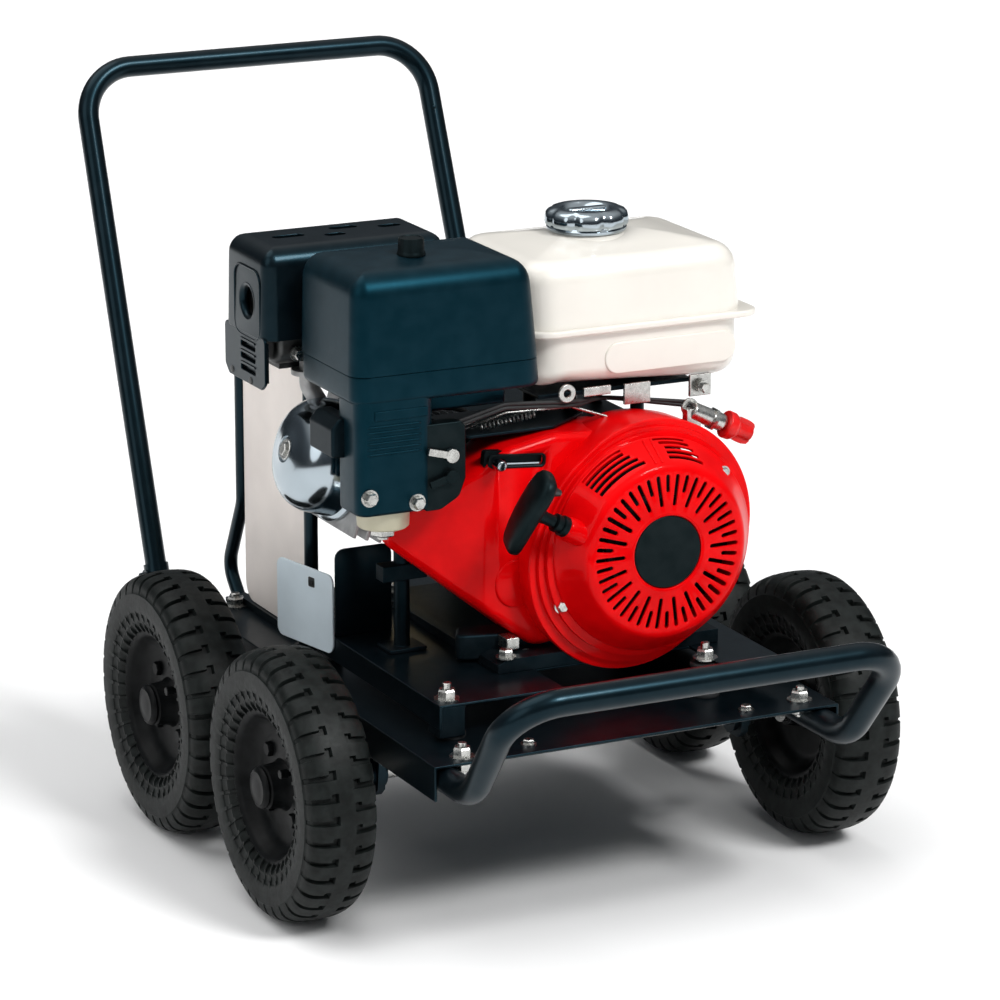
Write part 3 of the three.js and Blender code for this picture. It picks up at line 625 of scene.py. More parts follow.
def groove_depth(across, turn):
    """How deep the tread is cut at a distance from the middle plane and a share of one lug pitch."""
    if across < 9 or across > 35.8:
        return 0.0
    reach = GROOVE_SHARE + (HOOK_SHARE if across < 14.6 else 0.0)
    inside = 0.02 < turn < reach - 0.02
    fade = 1.0 if across < 30 else 0.75
    return GROOVE_DEPTH * fade if inside else 0.0


def tyre(corner):
    hub = centre("tyre_" + corner)
    bm = bmesh.new()
    half = [(x, r, 1) for x, r in TYRE_HALF]
    section = [(-x, r, -1) for x, r, _ in reversed(half)] + half
    starts = (0, 0.03, GROOVE_SHARE - 0.03, GROOVE_SHARE, GROOVE_SHARE + HOOK_SHARE - 0.03,
              GROOVE_SHARE + HOOK_SHARE)
    stations = sorted({round((s + shift) % 1, 4) for s in starts for shift in (0, 0.5)})
    rings = []
    for lug in range(LUGS):
        for share in stations:
            angle = 2 * math.pi * (lug + share) / LUGS
            ring = []
            for x, r, side in section:
                turn = (share + (0.5 if side > 0 else 0)) % 1
                radius = r - groove_depth(abs(x), turn)
                offset = Vector((x, -radius * math.cos(angle), radius * math.sin(angle))) * MM
                ring.append(bm.verts.new(hub + offset))
            rings.append(ring)
    for i, ring in enumerate(rings):
        after = rings[(i + 1) % len(rings)]
        for k in range(len(section)):
            j = (k + 1) % len(section)
            bm.faces.new((ring[k], ring[j], after[j], after[k]))
    return add("tyre_tread_" + corner, bm, "tyre_black", "wheel_" + corner, ("tyre_" + corner,), smooth=30)


def rim(corner, side):
    hub = centre("tyre_" + corner)
    bm = bmesh.new()
    outer = [(11, 30.4), (19.5, 30.4), (21.5, 28.5), (23, 14), (26, 9.5), (52, 8.5), (60, 11), (66.5, 17),
             (69.5, 24), (72, 27.5), (75.5, 29), (78.2, 28), (78.6, 25.6), (76.4, 24.5)]
    inner = [(r, -a) for r, a in reversed(outer)]
    inner[-3:] = [(22, -20), (20, -30), (11, -30.4)]
    lathe(bm, closed(outer + inner), hub, X * side, 96)
    for k in range(4):
        angle = math.radians(45 + 90 * k)
        seat = hub + (X * side * 8.4 + Y * 40 * math.cos(angle) + Z * 40 * math.sin(angle)) * MM
        hexagon(bm, seat, X * side, 13, 6)
    valve = hub + (X * side * 10 + Y * -52 + Z * 30) * MM
    rod(bm, valve, valve + X * side * 19 * MM, 3.6, 16)
    rod(bm, valve + X * side * 17 * MM, valve + X * side * 25 * MM, 4.6, 12)
    add("rim_dish_" + corner, bm, "rim_black", "wheel_" + corner, ("rim_" + corner,), smooth=38)
    cap = bmesh.new()
    lathe(cap, closed([(10.3, 31), (20.5, 31), (21, 32.5), (19.6, 35.5), (16.5, 37.2), (15.5, 36.8),
                       (9, 37.6), (0, 38.0), (0, 34.2), (10.3, 34.2)]), hub, X * side, 48)
    add("hub_cap_dome_" + corner, cap, "rim_black", stands_for=("hub_cap_" + corner,), smooth=38)


CORNERS = ("front_left", "front_right", "rear_left", "rear_right")


def wheels():
    for corner in CORNERS:
        tyre(corner)
        rim(corner, -1 if corner.endswith("left") else 1)


# ----------------------------------------------------------------- trolley

RAIL_X, RAIL_Z, RAIL_RADIUS = 203, 178, 13.5
BUMPER_X, BUMPER_Y, BUMPER_Z, LOW_BEND_Y = 208, -460, 291, -369
HANDLE_TOP = 708


def handle_leg(side, z):
    return at(side * (213 - 0.013 * z), 316.6 + 0.405 * z, z)


def mirror(points):
    return [Vector((-p.x, p.y, p.z)) for p in reversed(points)]


def axles():
    for name in ("front_axle", "rear_axle"):
        low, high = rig.box(name)
        half, shoulder = (high.x - low.x) / 2 / MM, 259.7
        side = [(0, half), (9, half), (10, half - 1), (10, shoulder), (16, shoulder), (16, shoulder - 6),
                (10, shoulder - 6)]
        profile = side + [(r, -a) for r, a in reversed(side)]
        add(name + "_bar", lathe(bmesh.new(), profile, centre(name), X, 32), "zinc", stands_for=(name,))


def chassis_tube():
    half = [handle_leg(1, 204), handle_leg(1, RAIL_Z), at(RAIL_X, 270, RAIL_Z), at(RAIL_X, LOW_BEND_Y, RAIL_Z),
            at(BUMPER_X, BUMPER_Y, BUMPER_Z)]
    path = rounded_path(half + mirror(half), [26, 120, 55, 50, 50, 55, 120, 26])
    bm = sweep(bmesh.new(), path, RAIL_RADIUS, 32)
    for side in (-1, 1):
        for node in ("front_axle", "rear_axle"):
            axle = centre(node)
            y = (axle.y - AXLE_MID_Y) / MM
            outline = [(y - 26, RAIL_Z - 6), (y - 22, 135), (y - 20, 121), (y - 12, 113.5), (y + 12, 113.5),
                       (y + 20, 121), (y + 22, 135), (y + 26, RAIL_Z - 6)]
            prism(bm, outline, facing_x, side * RAIL_X - 4, side * RAIL_X + 4)
            lathe(bm, ring_of(10.5, 17, -9, 9), Vector((side * RAIL_X * MM, axle.y, axle.z)), X, 32)
        bolt(bm, handle_leg(side, 190) + X * side * 13 * MM, X * side, 13, 6)
    add("chassis_tube_bent", bm, "frame_black", stands_for=("chassis_tube",))


def push_handle():
    legs = [handle_leg(1, 186), handle_leg(1, HANDLE_TOP)]
    path = rounded_path(legs + mirror(legs), [57, 57], 16)
    bm = sweep(bmesh.new(), path, 11.4, 32)
    stop = handle_leg(1, 640) - (Y * 11 + X * 3) * MM
    lathe(bm, [(0, 0), (2.4, 0), (2.4, 1.2), (1.2, 2), (0, 2.2)], stop, Vector((-0.1, -1, 0.1)), 16)
    add("push_handle_tube", bm, "frame_black", stands_for=("push_handle",))


# Where the trolley's screws stand: (x, y), on the tray and on the engine plate.
TRAY_BOLTS = [(-183, -305), (191, -295), (-183, 244), (191, 244)]
PLATE_BOLTS = [(-170, -244), (115, -239), (-166, 38), (166, 38)]


def trolley_sheets():
    for node in ("chassis_tray", "engine_plate"):
        soften(node, bevel=1.1, segments=3)
    tray_top, plate_top = (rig.box(node)[1].z / MM for node in ("chassis_tray", "engine_plate"))
    tray_under = tray_top - 3
    fittings = bmesh.new()
    for x, y in TRAY_BOLTS:
        bolt(fittings, at(x, y, tray_top), Z, 16, 9, stud=4)
        bolt(fittings, at(x, y, tray_under), -Z, 16, 9, stud=3)
    for x, y in PLATE_BOLTS:
        bolt(fittings, at(x, y, plate_top), Z, 16, 9, stud=6)
        bolt(fittings, at(x, y, tray_under), -Z)
    for x in (128, -110):
        bolt(fittings, at(x, -300, tray_top), Z, 10, 4)
    add("trolley_fasteners", fittings, "zinc", smooth=30)
    for corner in CORNERS:
        node = "rubber_mount_" + corner
        low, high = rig.box(node)
        middle = centre(node)
        z0, z1 = low.z / MM, high.z / MM
        outline = [(0, z0), (14.5, z0), (15, z0 + 1), (15, z0 + 4), (12.6, z0 + 9), (12.2, (z0 + z1) / 2),
                   (12.6, z1 - 9), (15, z1 - 4), (15, z1 - 1), (14.5, z1), (0, z1)]
        buffer = lathe(bmesh.new(), outline, Vector((middle.x, middle.y, 0)), Z, 40)
        add(node + "_buffer", buffer, "mount_rubber", stands_for=(node,))
    corner_block = block(bmesh.new(), -185.5, -158, -261.5, -234, 199, 231)
    add("corner_block", corner_block, "block_black", bevel=2, segments=3)


HOOP_X, HOOP_Z = -170, 195.3


def side_hoop():
    corners = [(262, HOOP_Z), (292, 226), (251, 306), (251, 500), (75, 500), (75, HOOP_Z)]
    bm = bent_bar(bmesh.new(), [(HOOP_X, y, z) for y, z in corners], [26, 26, 26, 26], 7.2, 20, 10)
    block(bm, HOOP_X - 5, HOOP_X + 5, 75, 262, HOOP_Z, HOOP_Z + 8)
    for y in (75, 256):
        foot = rounded_rectangle(HOOP_X - 16, HOOP_X + 14, y - 11, y + 11, 4)
        prism(bm, foot, facing_z, HOOP_Z, HOOP_Z + 4)
        bolt(bm, at(HOOP_X - 10, y, HOOP_Z + 4), Z, 8, 4)
    add("side_hoop_tube", bm, "frame_black", stands_for=("side_hoop",))
    panel = prism(bmesh.new(), rounded_rectangle(83, 243, 204, 492, 20), facing_x, HOOP_X - 1.5, HOOP_X + 1.5)
    add("side_panel_sheet", panel, "beige_paint", stands_for=("side_panel",), bevel=0.5)


def guard_plates():
    turn = Matrix.Rotation(math.radians(12), 4, "Z")
    corner = at(-186.3, -18, 257)

    def facing_out(u, v, depth):
        return corner + turn @ (Vector((depth, u, v)) * MM)

    plate = prism(bmesh.new(), rounded_rectangle(0, 95, -41, 41, 9), facing_out, -2.5, 0)
    add("splash_plate_sheet", plate, "pale_blue_paint", stands_for=("splash_plate",), bevel=0.5)
    tab = prism(bmesh.new(), rounded_rectangle(30, 40, 22, 32, 1.5), facing_out, -3.1, -2.4)
    prism(tab, rounded_rectangle(32.5, 34.5, 24, 29, 0.8), facing_out, -4.2, -3.0)
    prism(tab, rounded_rectangle(36, 38, 24, 29, 0.8), facing_out, -4.2, -3.0)
    add("splash_plate_clip", tab, "steel")
    soften("upright_plate", bevel=0.8)
    soften("support_post", bevel=1.6, segments=3)


# ------------------------------------------------------------------ engine

CRANK_X, CRANK_Z, CYLINDER_Y = 68, 350, -33
TILT = math.radians(16)
BARREL = Vector((-math.cos(TILT), 0, math.sin(TILT)))
SHAFT = at(CRANK_X, 0, CRANK_Z)


def engine_core():
    soften("engine_block", bevel=1.2)
    soften("cylinder_head")
    for node in ("crankshaft", "flywheel"):
        soften(node, "crank", bevel=0.5)
    foot = bmesh.new()
    for x, y in ((-80, -190), (-80, 60), (140, 60)):
        bolt(foot, at(x, y, 247), Z, 13, 7)
    hexagon(foot, at(-92, -118, 242), -X, 12, 5)
    add("engine_foot_bolts", foot, "zinc", smooth=30)
    ledge = bmesh.new()
    prism(ledge, fillet([(-116, -150), (-8, -176), (-2, -140), (-100, -120)], 8), facing_z, 236, 262)
    add("crankcase_ledge", ledge, "block_black", bevel=3, segments=3)
    plug = prism(bmesh.new(), rounded_rectangle(-74, -60, 250, 262, 1.5), facing_y, -180, -160)
    add("drain_plug", plug, "zinc", bevel=1)


def rocker_cover():
    profile = [(0, 262.4), (61.5, 262.4), (62.5, 263.4), (62.5, 266.5), (61.5, 267.6), (58.5, 269),
               (57.8, 272)]
    for k in range(10):
        angle = math.pi / 2 * k / 9
        profile.append((24 + 33.6 * math.cos(angle), 288 + 34.5 * math.sin(angle)))
    profile += [(18, 324.3), (13.5, 325.2), (12.8, 323.6), (11.5, 323.6), (0, 324.2)]
    start = at(CRANK_X, CYLINDER_Y, CRANK_Z)
    add("rocker_cover_dome", lathe(bmesh.new(), profile, start, BARREL, 96), "chrome",
        stands_for=("rocker_cover",), smooth=35)
    nut = bmesh.new()
    tip = start + BARREL * 323.6 * MM
    lathe(nut, [(0, 0), (10.5, 0), (10.5, 1.2), (9.8, 1.8), (0, 1.8)], tip, BARREL, 32)
    hexagon(nut, tip + BARREL * 1.4 * MM, BARREL, 12, 3.4)
    add("rocker_cover_bolt", nut, "zinc", smooth=30)
    strap = bmesh.new()
    prism(strap, fillet([(-246, 458), (-222, 456), (-222, 496), (-238, 496), (-246, 486)], [3, 3, 3, 8, 6]),
          facing_y, -150, -96)
    add("cylinder_shield", strap, "block_black", bevel=3, segments=3)


def small_engine_parts():
    cap = at(-30, -60, 292)
    bm = lathe(bmesh.new(), [(0, -11), (9, -11), (9, 0), (12.6, 0), (13, 0.6), (13, 7), (12, 9.4), (7, 10.4),
                             (0, 10.6)], cap - X * 7 * MM, -X, 40)
    block(bm, -46, -37, -63, -57, 283, 301)
    add("oil_dipstick_cap", bm, "black_plastic", "dipstick", ("oil_dipstick",), bevel=0.8)
    boot = rod(bmesh.new(), at(-146, 32.5, 405), at(-146, 48, 405), 8, 24, 2)
    bent_bar(boot, [(-146, 40, 404), (-146, 40, 430), (-128, 30, 440)], [12], 5.6, 20)
    add("spark_plug_boot_elbow", boot, "black_plastic", stands_for=("spark_plug_boot",))
    lead = bent_bar(bmesh.new(), [(-128, 30, 440), (-92, 12, 456), (-60, -40, 462), (-40, -88, 448)],
                    [20, 30], 3.0, 12)
    add("spark_plug_lead", lead, "mount_rubber")


# ----------------------------------------------------- fan duct and starter

HULL_STEPS = 120


def hull_of(centres, radius, depth):
    """The outline round equal circles in the X-Z plane, at one depth along Y."""
    ring = []
    for i in range(HULL_STEPS):
        angle = 2 * math.pi * i / HULL_STEPS
        way = Vector((math.cos(angle), math.sin(angle)))
        hub = max((Vector(c) for c in centres), key=lambda c: c.dot(way))
        point = hub + way * radius
        ring.append(at(point.x, depth, point.y))
    return ring


# The duct's outline from the front, and where its left part folds back.
DUCT = [(60, 247.3), (60, 456), (-18, 462), (-72, 452), (-140, 405), (-178, 400), (-178, 357), (-42, 247.3)]
FOLD_X, DUCT_FRONT, DUCT_BACK = -88, -174, -101
BASE_CLEAR_Y, BASE_CLEAR_Z = -197.5, 234.5
# The drum's turned steps, from the front: (depth, share of the lean towards the duct, radius).
DRUM_STEPS = ((-188, 0, 98.5), (-211.8, 0, 99), (-212.6, 0, 100), (-212.6, 0, 107.8), (-212.0, 0, 108.3),
              (-211.2, 0.33, 107.6), (-206.8, 0.33, 108), (-206.0, 0.33, 106.8), (-205.6, 0.66, 108.2),
              (-201.6, 0.66, 108.5), (-200.8, 0.66, 107.4), (-200.4, 1, 109), (-199.2, 1, 109.8),
              (-198, 1, 110), (-197, 1, 110), (-180, 0.95, 110), (-150, 0.9, 109), (-131, 0.8, 107))


def on_slot(u, v, depth):
    """The throttle slot lies on the front of the duct, a little lower at its right-hand end."""
    slope = math.radians(-4.8)
    return at(-60 + u * math.cos(slope) - v * math.sin(slope), depth,
              439.8 + u * math.sin(slope) + v * math.cos(slope))


def fan_shroud():
    bm = bmesh.new()
    rounded = fillet(DUCT, [0, 10, 40, 40, 20, 12, 24, 30])
    prism(bm, rounded, facing_y, DUCT_FRONT, DUCT_BACK)
    bmesh.ops.bisect_plane(bm, geom=bm.verts[:] + bm.edges[:] + bm.faces[:], plane_co=at(FOLD_X, 0, 0),
                           plane_no=X)
    for vertex in bm.verts:
        x = vertex.co.x / MM
        if x < FOLD_X - 0.01 and vertex.co.y < at(0, DUCT_FRONT + 1, 0).y:
            vertex.co.y += (FOLD_X - x) * 0.55 * MM
    duct = add("fan_duct", bm, "red_paint", stands_for=("fan_shroud",), bevel=9, segments=5, limit=24)
    slot = prism(bmesh.new(), rounded_rectangle(-29.5, 29.5, -5.6, 5.6, 4), on_slot, -180, -164)
    carve(duct, slot)
    rim = bmesh.new()
    rings = []
    for grow, depth in ((0, -171), (0, -174.6), (-1.4, -174.9), (-2.2, -174.4), (-2.2, -171)):
        rings.append([on_slot(u, v, depth) for u, v in
                      rounded_rectangle(-31 - grow, 31 + grow, -7 - grow, 7 + grow, 5 + grow)])
    loft(rim, rings + rings[:1], caps=False)
    add("throttle_slot_rim", rim, "black_plastic", smooth=40)
    drum = bmesh.new()
    lean = ((-7, 0), (-18, -19), (8, 12))
    rings = []
    for depth, share, radius in DRUM_STEPS:
        centres = [(CRANK_X + share * x, CRANK_Z + share * z) for x, z in lean]
        rings.append(hull_of(centres, radius, depth))
    for ring in rings:
        for point in ring:
            if point.y > at(0, BASE_CLEAR_Y, 0).y:
                point.z = max(point.z, BASE_CLEAR_Z * MM)
    loft(drum, rings, caps=False)
    add("fan_drum", drum, "red_paint", smooth=32)
    boss = lathe(bmesh.new(), [(0, 0), (22, 0), (21.5, 1.6), (20, 2.4), (0, 3.0)], at(-62, -173.8, 316), -Y,
                 48)
    for vertex in boss.verts:
        vertex.co.z += (vertex.co.z - at(0, 0, 316).z) * 0.12
    add("fan_duct_boss", boss, "red_paint", smooth=50)
    bolts_piece("fan_duct_bolts", [(-51, -174, 240), (-29, -208, 298)], -Y, 10, 5)


SLOTS = 44
SLOT_HALF_WIDTH = 2.15
SLOT_OUTER, LONG_INNER, SHORT_INNER = 78.4, 46.5, 60
ARC_BANDS = ((91.5, 93.9), (95.2, 97.5), (98.9, 101.1), (102.4, 104.5), (105.6, 107.2))
# The cover's profile from its centre outwards: (radius, depth).
COVER = [(0, -244.4), (36.7, -244.4), (37, -247), (38.4, -247.9), (41, -247.4), (LONG_INNER, -247.1),
         (47.2, -247.05), (48.7, -247), (SHORT_INNER, -246.6), (60.7, -246.6), (62.2, -246.5), (76.2, -246),
         (77.7, -245.9), (SLOT_OUTER, -245.8), (82, -245.3), (85, -244.3), (87.4, -242.6), (89.2, -240.2),
         (91.5, -236.8), (93.9, -233.2), (95.2, -231.3), (97.5, -227.9), (98.9, -225.9), (101.1, -222.8),
         (102.4, -221.0), (104.5, -218.2), (105.6, -216.9), (107.2, -215.2), (108.0, -214.4), (108.4, -212.9)]


def slot_half(radius, inner):
    """Half the width of a slot with rounded ends, at a distance from the crankshaft."""
    to_end = min(radius - inner, SLOT_OUTER - radius)
    if to_end < 0 or to_end >= SLOT_HALF_WIDTH:
        return SLOT_HALF_WIDTH
    return math.sqrt(max(0.0, SLOT_HALF_WIDTH ** 2 - (SLOT_HALF_WIDTH - to_end) ** 2))


def recoil_cover():
    bm = bmesh.new()
    pitch = 2 * math.pi / SLOTS
    rows = []
    for radius, depth in COVER:
        row = []
        for k in range(SLOTS):
            inner = SHORT_INNER if k % 2 else LONG_INNER
            half = slot_half(radius, inner) / max(min(radius, SLOT_OUTER), 30)
            for offset in (-half, half, pitch / 2):
                angle = k * pitch + offset
                row.append(bm.verts.new(at(CRANK_X + radius * math.cos(angle), depth,
                                           CRANK_Z + radius * math.sin(angle))))
        rows.append(row)

    def is_open(ring, station):
        radius = (COVER[ring][0] + COVER[ring + 1][0]) / 2
        k, part = divmod(station, 3)
        inner = SHORT_INNER if k % 2 else LONG_INNER
        if part == 0 and inner < radius < SLOT_OUTER:
            return True
        turn = math.degrees((k + (0, 0.25, 0.75)[part]) * pitch)
        for band, (near, far) in enumerate(ARC_BANDS):
            if near < radius < far:
                left = 103 + 2 * band < turn < 139
                right = 62 + 2.6 * band < turn < 84 + 1.7 * band
                return left or right
        return False

    count = SLOTS * 3
    for ring in range(len(rows) - 1):
        for station in range(count):
            after = (station + 1) % count
            if is_open(ring, station):
                continue
            quad = (rows[ring][station], rows[ring][after], rows[ring + 1][after], rows[ring + 1][station])
            bm.faces.new(quad)
    piece = add("recoil_cover_shell", bm, "red_paint", stands_for=("recoil_cover",), smooth=45)
    wall = piece.modifiers.new("wall", "SOLIDIFY")
    wall.thickness = 2.4 * MM
    wall.offset = 1.0 if piece.data.polygons[200].normal.y > 0 else -1.0
    round_edges(piece, 0.45)
    rib = bmesh.new()
    for turn in (92, 96.5):
        way = Vector((math.cos(math.radians(turn)), 0, math.sin(math.radians(turn))))
        rib_profile = ((89, -240.2), (95, -231.2), (101, -222.6), (107, -215.4))
        sweep(rib, [SHAFT + (way * radius + Y * depth) * MM for radius, depth in rib_profile], 1.3, 10)
    add("recoil_cover_ribs", rib, "red_paint")
    disc = lathe(bmesh.new(), [(0, 0), (35.6, 0), (36.2, 0.6), (36.2, 1.6), (35.4, 2.4), (0, 2.9)],
                 at(CRANK_X, -244.6, CRANK_Z), -Y, 96)
    add("recoil_centre", disc, "black_plastic", stands_for=("recoil_centre_disc",))
    bolts = bmesh.new()
    turn = math.radians(41)
    bolt(bolts, SHAFT + (X * math.cos(turn) * 100 + Z * math.sin(turn) * 100 - Y * 220) * MM, -Y, 8, 3)
    add("recoil_cover_bolt", bolts, "zinc", smooth=30)
    add("fan_disc", lathe(bmesh.new(), ring_of(46, 95, -196, -193), SHAFT, Y, 64), "black_plastic", "crank")


GRIP_HALF, GRIP_STEPS = 45, 28


def starter():
    """The starter's fixed and pulled pieces. Returns the rope's mesh, and the line that it lies on."""
    soften("recoil_pulley", "recoil_drum", bevel=0.6)
    slope = math.radians(29)
    way = Vector((-math.cos(slope), 0, math.sin(slope)))
    start = at(-36, -228, 384)

    def along(distance):
        return start + way * distance * MM

    guide = bmesh.new()
    lathe(guide, [(4, -30), (13, -30), (12.6, -18), (12.2, -10), (11.6, -4), (10.2, -1), (8, 0), (4, 0)],
          start, way, 40)
    add("rope_guide_boss", guide, "red_paint", smooth=50)
    profile = [(3.2, -2), (10.4, -2), (10.4, 4), (9.4, 5), (8.2, 5.4), (8.2, 8), (9.2, 8.6), (9.2, 12),
               (8, 13), (3.2, 13)]
    ferrule = lathe(bmesh.new(), profile, start, way, 32)
    add("rope_guide_ferrule", ferrule, "black_plastic")
    axis = Vector((0.3, -0.4, 0.87)).normalized()
    middle = along(42) - Z * 2 * MM
    across = axis.cross(way).normalized()
    outward = across.cross(axis).normalized()
    bm = bmesh.new()
    rings = []
    for share, wide, thick in ((-1.0, 0.30, 0.25), (-0.985, 0.52, 0.5), (-0.93, 0.68, 0.72), (-0.8, 0.8, 0.86),
                               (-0.5, 0.9, 0.95), (-0.2, 0.94, 1.0), (0.1, 0.98, 1.0), (0.5, 1.02, 0.97),
                               (0.8, 0.94, 0.88), (0.93, 0.74, 0.72), (0.985, 0.5, 0.5), (1.0, 0.3, 0.28)):
        hub = middle + axis * share * GRIP_HALF * MM + outward * (2.5 * (1 - share * share)) * MM
        ring = []
        for i in range(GRIP_STEPS):
            angle = 2 * math.pi * i / GRIP_STEPS
            c, s = math.cos(angle), math.sin(angle)
            square = (abs(c) ** 3 + abs(s) ** 3) ** (-1 / 3)
            ring.append(hub + (across * c * 20 * wide + outward * s * 9.4 * thick) * square * MM)
        rings.append(ring)
    loft(bm, rings)
    neck = [(0, -22), (6.4, -22), (6.0, -14), (6.8, -8), (7.4, 0), (0, 0)]
    lathe(bm, neck, along(36), way, 28)
    add("grip_paddle", bm, "black_plastic", "pull_grip", ("recoil_grip",), smooth=60)
    trim = bmesh.new()
    front = across if across.y < 0 else -across
    edge_points = []
    for k in range(9):
        s = -0.55 + 0.15 * k
        lift = outward * (9.0 - 1.5 * s * s)
        edge_points.append(middle + (axis * s * GRIP_HALF + front * (4 + 7 * s) + lift) * MM)
    sweep(trim, edge_points, 0.7, 8)
    rivet = middle + (axis * -4 - front * 6 + outward * 9.6) * MM
    lathe(trim, [(0, -1), (2.6, -1), (2.6, 0.6), (1.8, 1.3), (0, 1.5)], rivet, outward, 20)
    add("grip_trim", trim, "chrome", "pull_grip", smooth=50)
    collar = lathe(bmesh.new(), [(0, 0), (6.8, 0), (4.6, 9), (3, 14), (0, 14)],
                   middle + (axis * 30 - outward * 4) * MM, -outward, 24)
    add("grip_collar", collar, "steel", "pull_grip", smooth=40)
    rope = rod(bmesh.new(), along(-29), along(15), 2.5, 16)
    bmesh.ops.subdivide_edges(rope, edges=[e for e in rope.edges if e.calc_length() > 0.02], cuts=6)
    return rope, along


def recoil_rope():
    bm, along = starter()
    bmesh.ops.recalc_face_normals(bm, faces=bm.faces)
    strand = object_of("recoil_rope_strand", bm)
    strand.data.materials.append(MATERIALS["rope"])
    strand.data.shade_smooth()
    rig.blend(strand, "trolley", "pull_grip", along(-29), along(15))
    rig.slot(strand, "rope")
    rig.replaces(strand, "recoil_rope")


# --------------------------------------------------- tank, intake, exhaust

CAP_X, CAP_Y = 70, -66
CAP_AXIS, BOWL_AXIS = at(CAP_X, CAP_Y, 0), at(-192, -148, 0)
NUT_AXIS, UNLOADER_AXIS = at(-152, -130, 0), at(-24, 145, 0)
TANK_SEAM = 556
EXHAUST_Y, EXHAUST_Z = 10, 581


def fuel_tank():
    bm = cushion(bmesh.new(), facing_z, (-40, 206), (-160, 22), (TANK_SEAM, 627), 34, 0, 22, crown=9)
    for vertex in bm.verts:
        place = (vertex.co - at(0, 0, TANK_SEAM)) / MM
        vertex.co.x -= max(0, place.x / 206) * place.z * 0.11 * MM
    add("tank_top", bm, "tank_white", stands_for=("fuel_tank",), smooth=60)
    lower = cushion(bmesh.new(), facing_z, (-30, 202), (-157, 17), (496, TANK_SEAM), 32, 20)
    for vertex in lower.verts:
        x, z = vertex.co.x / MM, vertex.co.z / MM
        hump = math.exp(-((x - 20) / 34) ** 2) * (1 - min(1, max(0, (z - 496) / 40)))
        dip = 2 * (1 - math.exp(-max(0, x - 40) / 40)) * (1 - min(1, (z - 496) / 40))
        vertex.co.z += (12 * hump - dip) * MM
    add("tank_bottom", lower, "tank_white", smooth=60)
    flange = bmesh.new()
    outline = fillet([(-40, -165), (216, -165), (216, 26), (-40, 26)], [30, 20, 30, 30], 10)
    prism(flange, outline, facing_z, 554, 560.6)
    add("tank_flange", flange, "tank_white", bevel=2.2, segments=4)
    swell = cushion(bmesh.new(), facing_y, (44, 190), (510, 542), (-158.9, -150), 15, 1.9, 0)
    add("tank_swelling", swell, "tank_white", smooth=60)
    neck = lathe(bmesh.new(), [(34, 622), (48, 628), (44, 632), (40, 634), (37.5, 636), (36, 637), (30, 637),
                               (30, 622), (34, 622)], CAP_AXIS, Z, 64)
    add("tank_neck", neck, "tank_white", smooth=50)
    cap = bmesh.new()
    profile = [(0, 637.4), (39, 637.4), (40, 638.4), (40, 640.4), (39, 641.4), (41, 643), (41.8, 645),
               (41.6, 651), (40.4, 655), (37.6, 657.6), (33, 659.2), (28, 659.4), (25, 658.6), (22.6, 655.4),
               (20, 654.2), (0, 655)]
    lathe(cap, profile, CAP_AXIS, Z, 96)
    flute(cap, CAP_AXIS, 642, 658, 30, lambda turn: 0.09 * max(0.0, math.cos(8 * turn)) ** 2)
    add("fuel_cap_shell", cap, "chrome", "cap", ("fuel_cap",), smooth=35)
    bar = cushion(bmesh.new(), facing_z, (CAP_X - 21, CAP_X + 21), (CAP_Y - 5, CAP_Y + 5), (653, 659), 4,
                  high_round=2.5)
    add("fuel_cap_grip", bar, "chrome", "cap", smooth=50)


SPRING_TURNS, SPRING_STEPS = 14, 8


def tank_support():
    soften("tank_bracket", bevel=0.9)
    bolts_piece("tank_bracket_bolts", [(154, -158, 486)], -Y, 9, 5)
    eyes = bmesh.new()
    for x, z in ((-2, 499), (134, 470)):
        lathe(eyes, ring_of(4, 9, -1.5, 1.5), at(x, -166, z), Y, 32)
    add("wire_eyes", eyes, "zinc", bevel=0.5)
    tabs = bmesh.new()
    for x0, x1, z0, z1 in ((24, 54, 489, 498), (69, 98, 476, 497), (142, 166, 476, 498)):
        block(tabs, x0, x1, -152, -148, z0, z1)
    add("tank_bracket_tabs", tabs, "zinc", bevel=0.8)
    rods = bmesh.new()
    bent_bar(rods, [(-112, -150, 474), (-60, -150, 488), (0, -140, 484), (50, -150, 466)], [20, 20], 1.6, 10)
    bent_bar(rods, [(-110, -140, 466), (-50, -128, 476), (26, -128, 474)], [20], 1.6, 10)
    add("governor_rods", rods, "zinc")
    coil = bmesh.new()
    points = []
    for k in range(SPRING_TURNS * SPRING_STEPS + 1):
        turn = 2 * math.pi * k / SPRING_STEPS
        points.append(at(-88 + 0.55 * k, -146 + 3.6 * math.cos(turn), 470 + 0.06 * k + 3.6 * math.sin(turn)))
    sweep(coil, points, 0.8, 6)
    add("governor_spring", coil, "zinc")
    wires = bmesh.new()
    for drop in (0, 4):
        bent_bar(wires, [(-116, -158, 482 - drop), (-70, -166, 496 - drop), (10, -160, 488 - drop),
                         (60, -120, 478), (146, -150, 470 - drop)], [20, 30, 30], 2.1, 10)
    add("ignition_wires", wires, "mount_rubber")
    plate = bmesh.new()
    outline = fillet([(-108, -158), (-12, -158), (40, -120), (40, -70), (-108, -70)], 8)
    prism(plate, outline, facing_z, 462.6, 466)
    add("governor_plate", plate, "block_black", bevel=1)


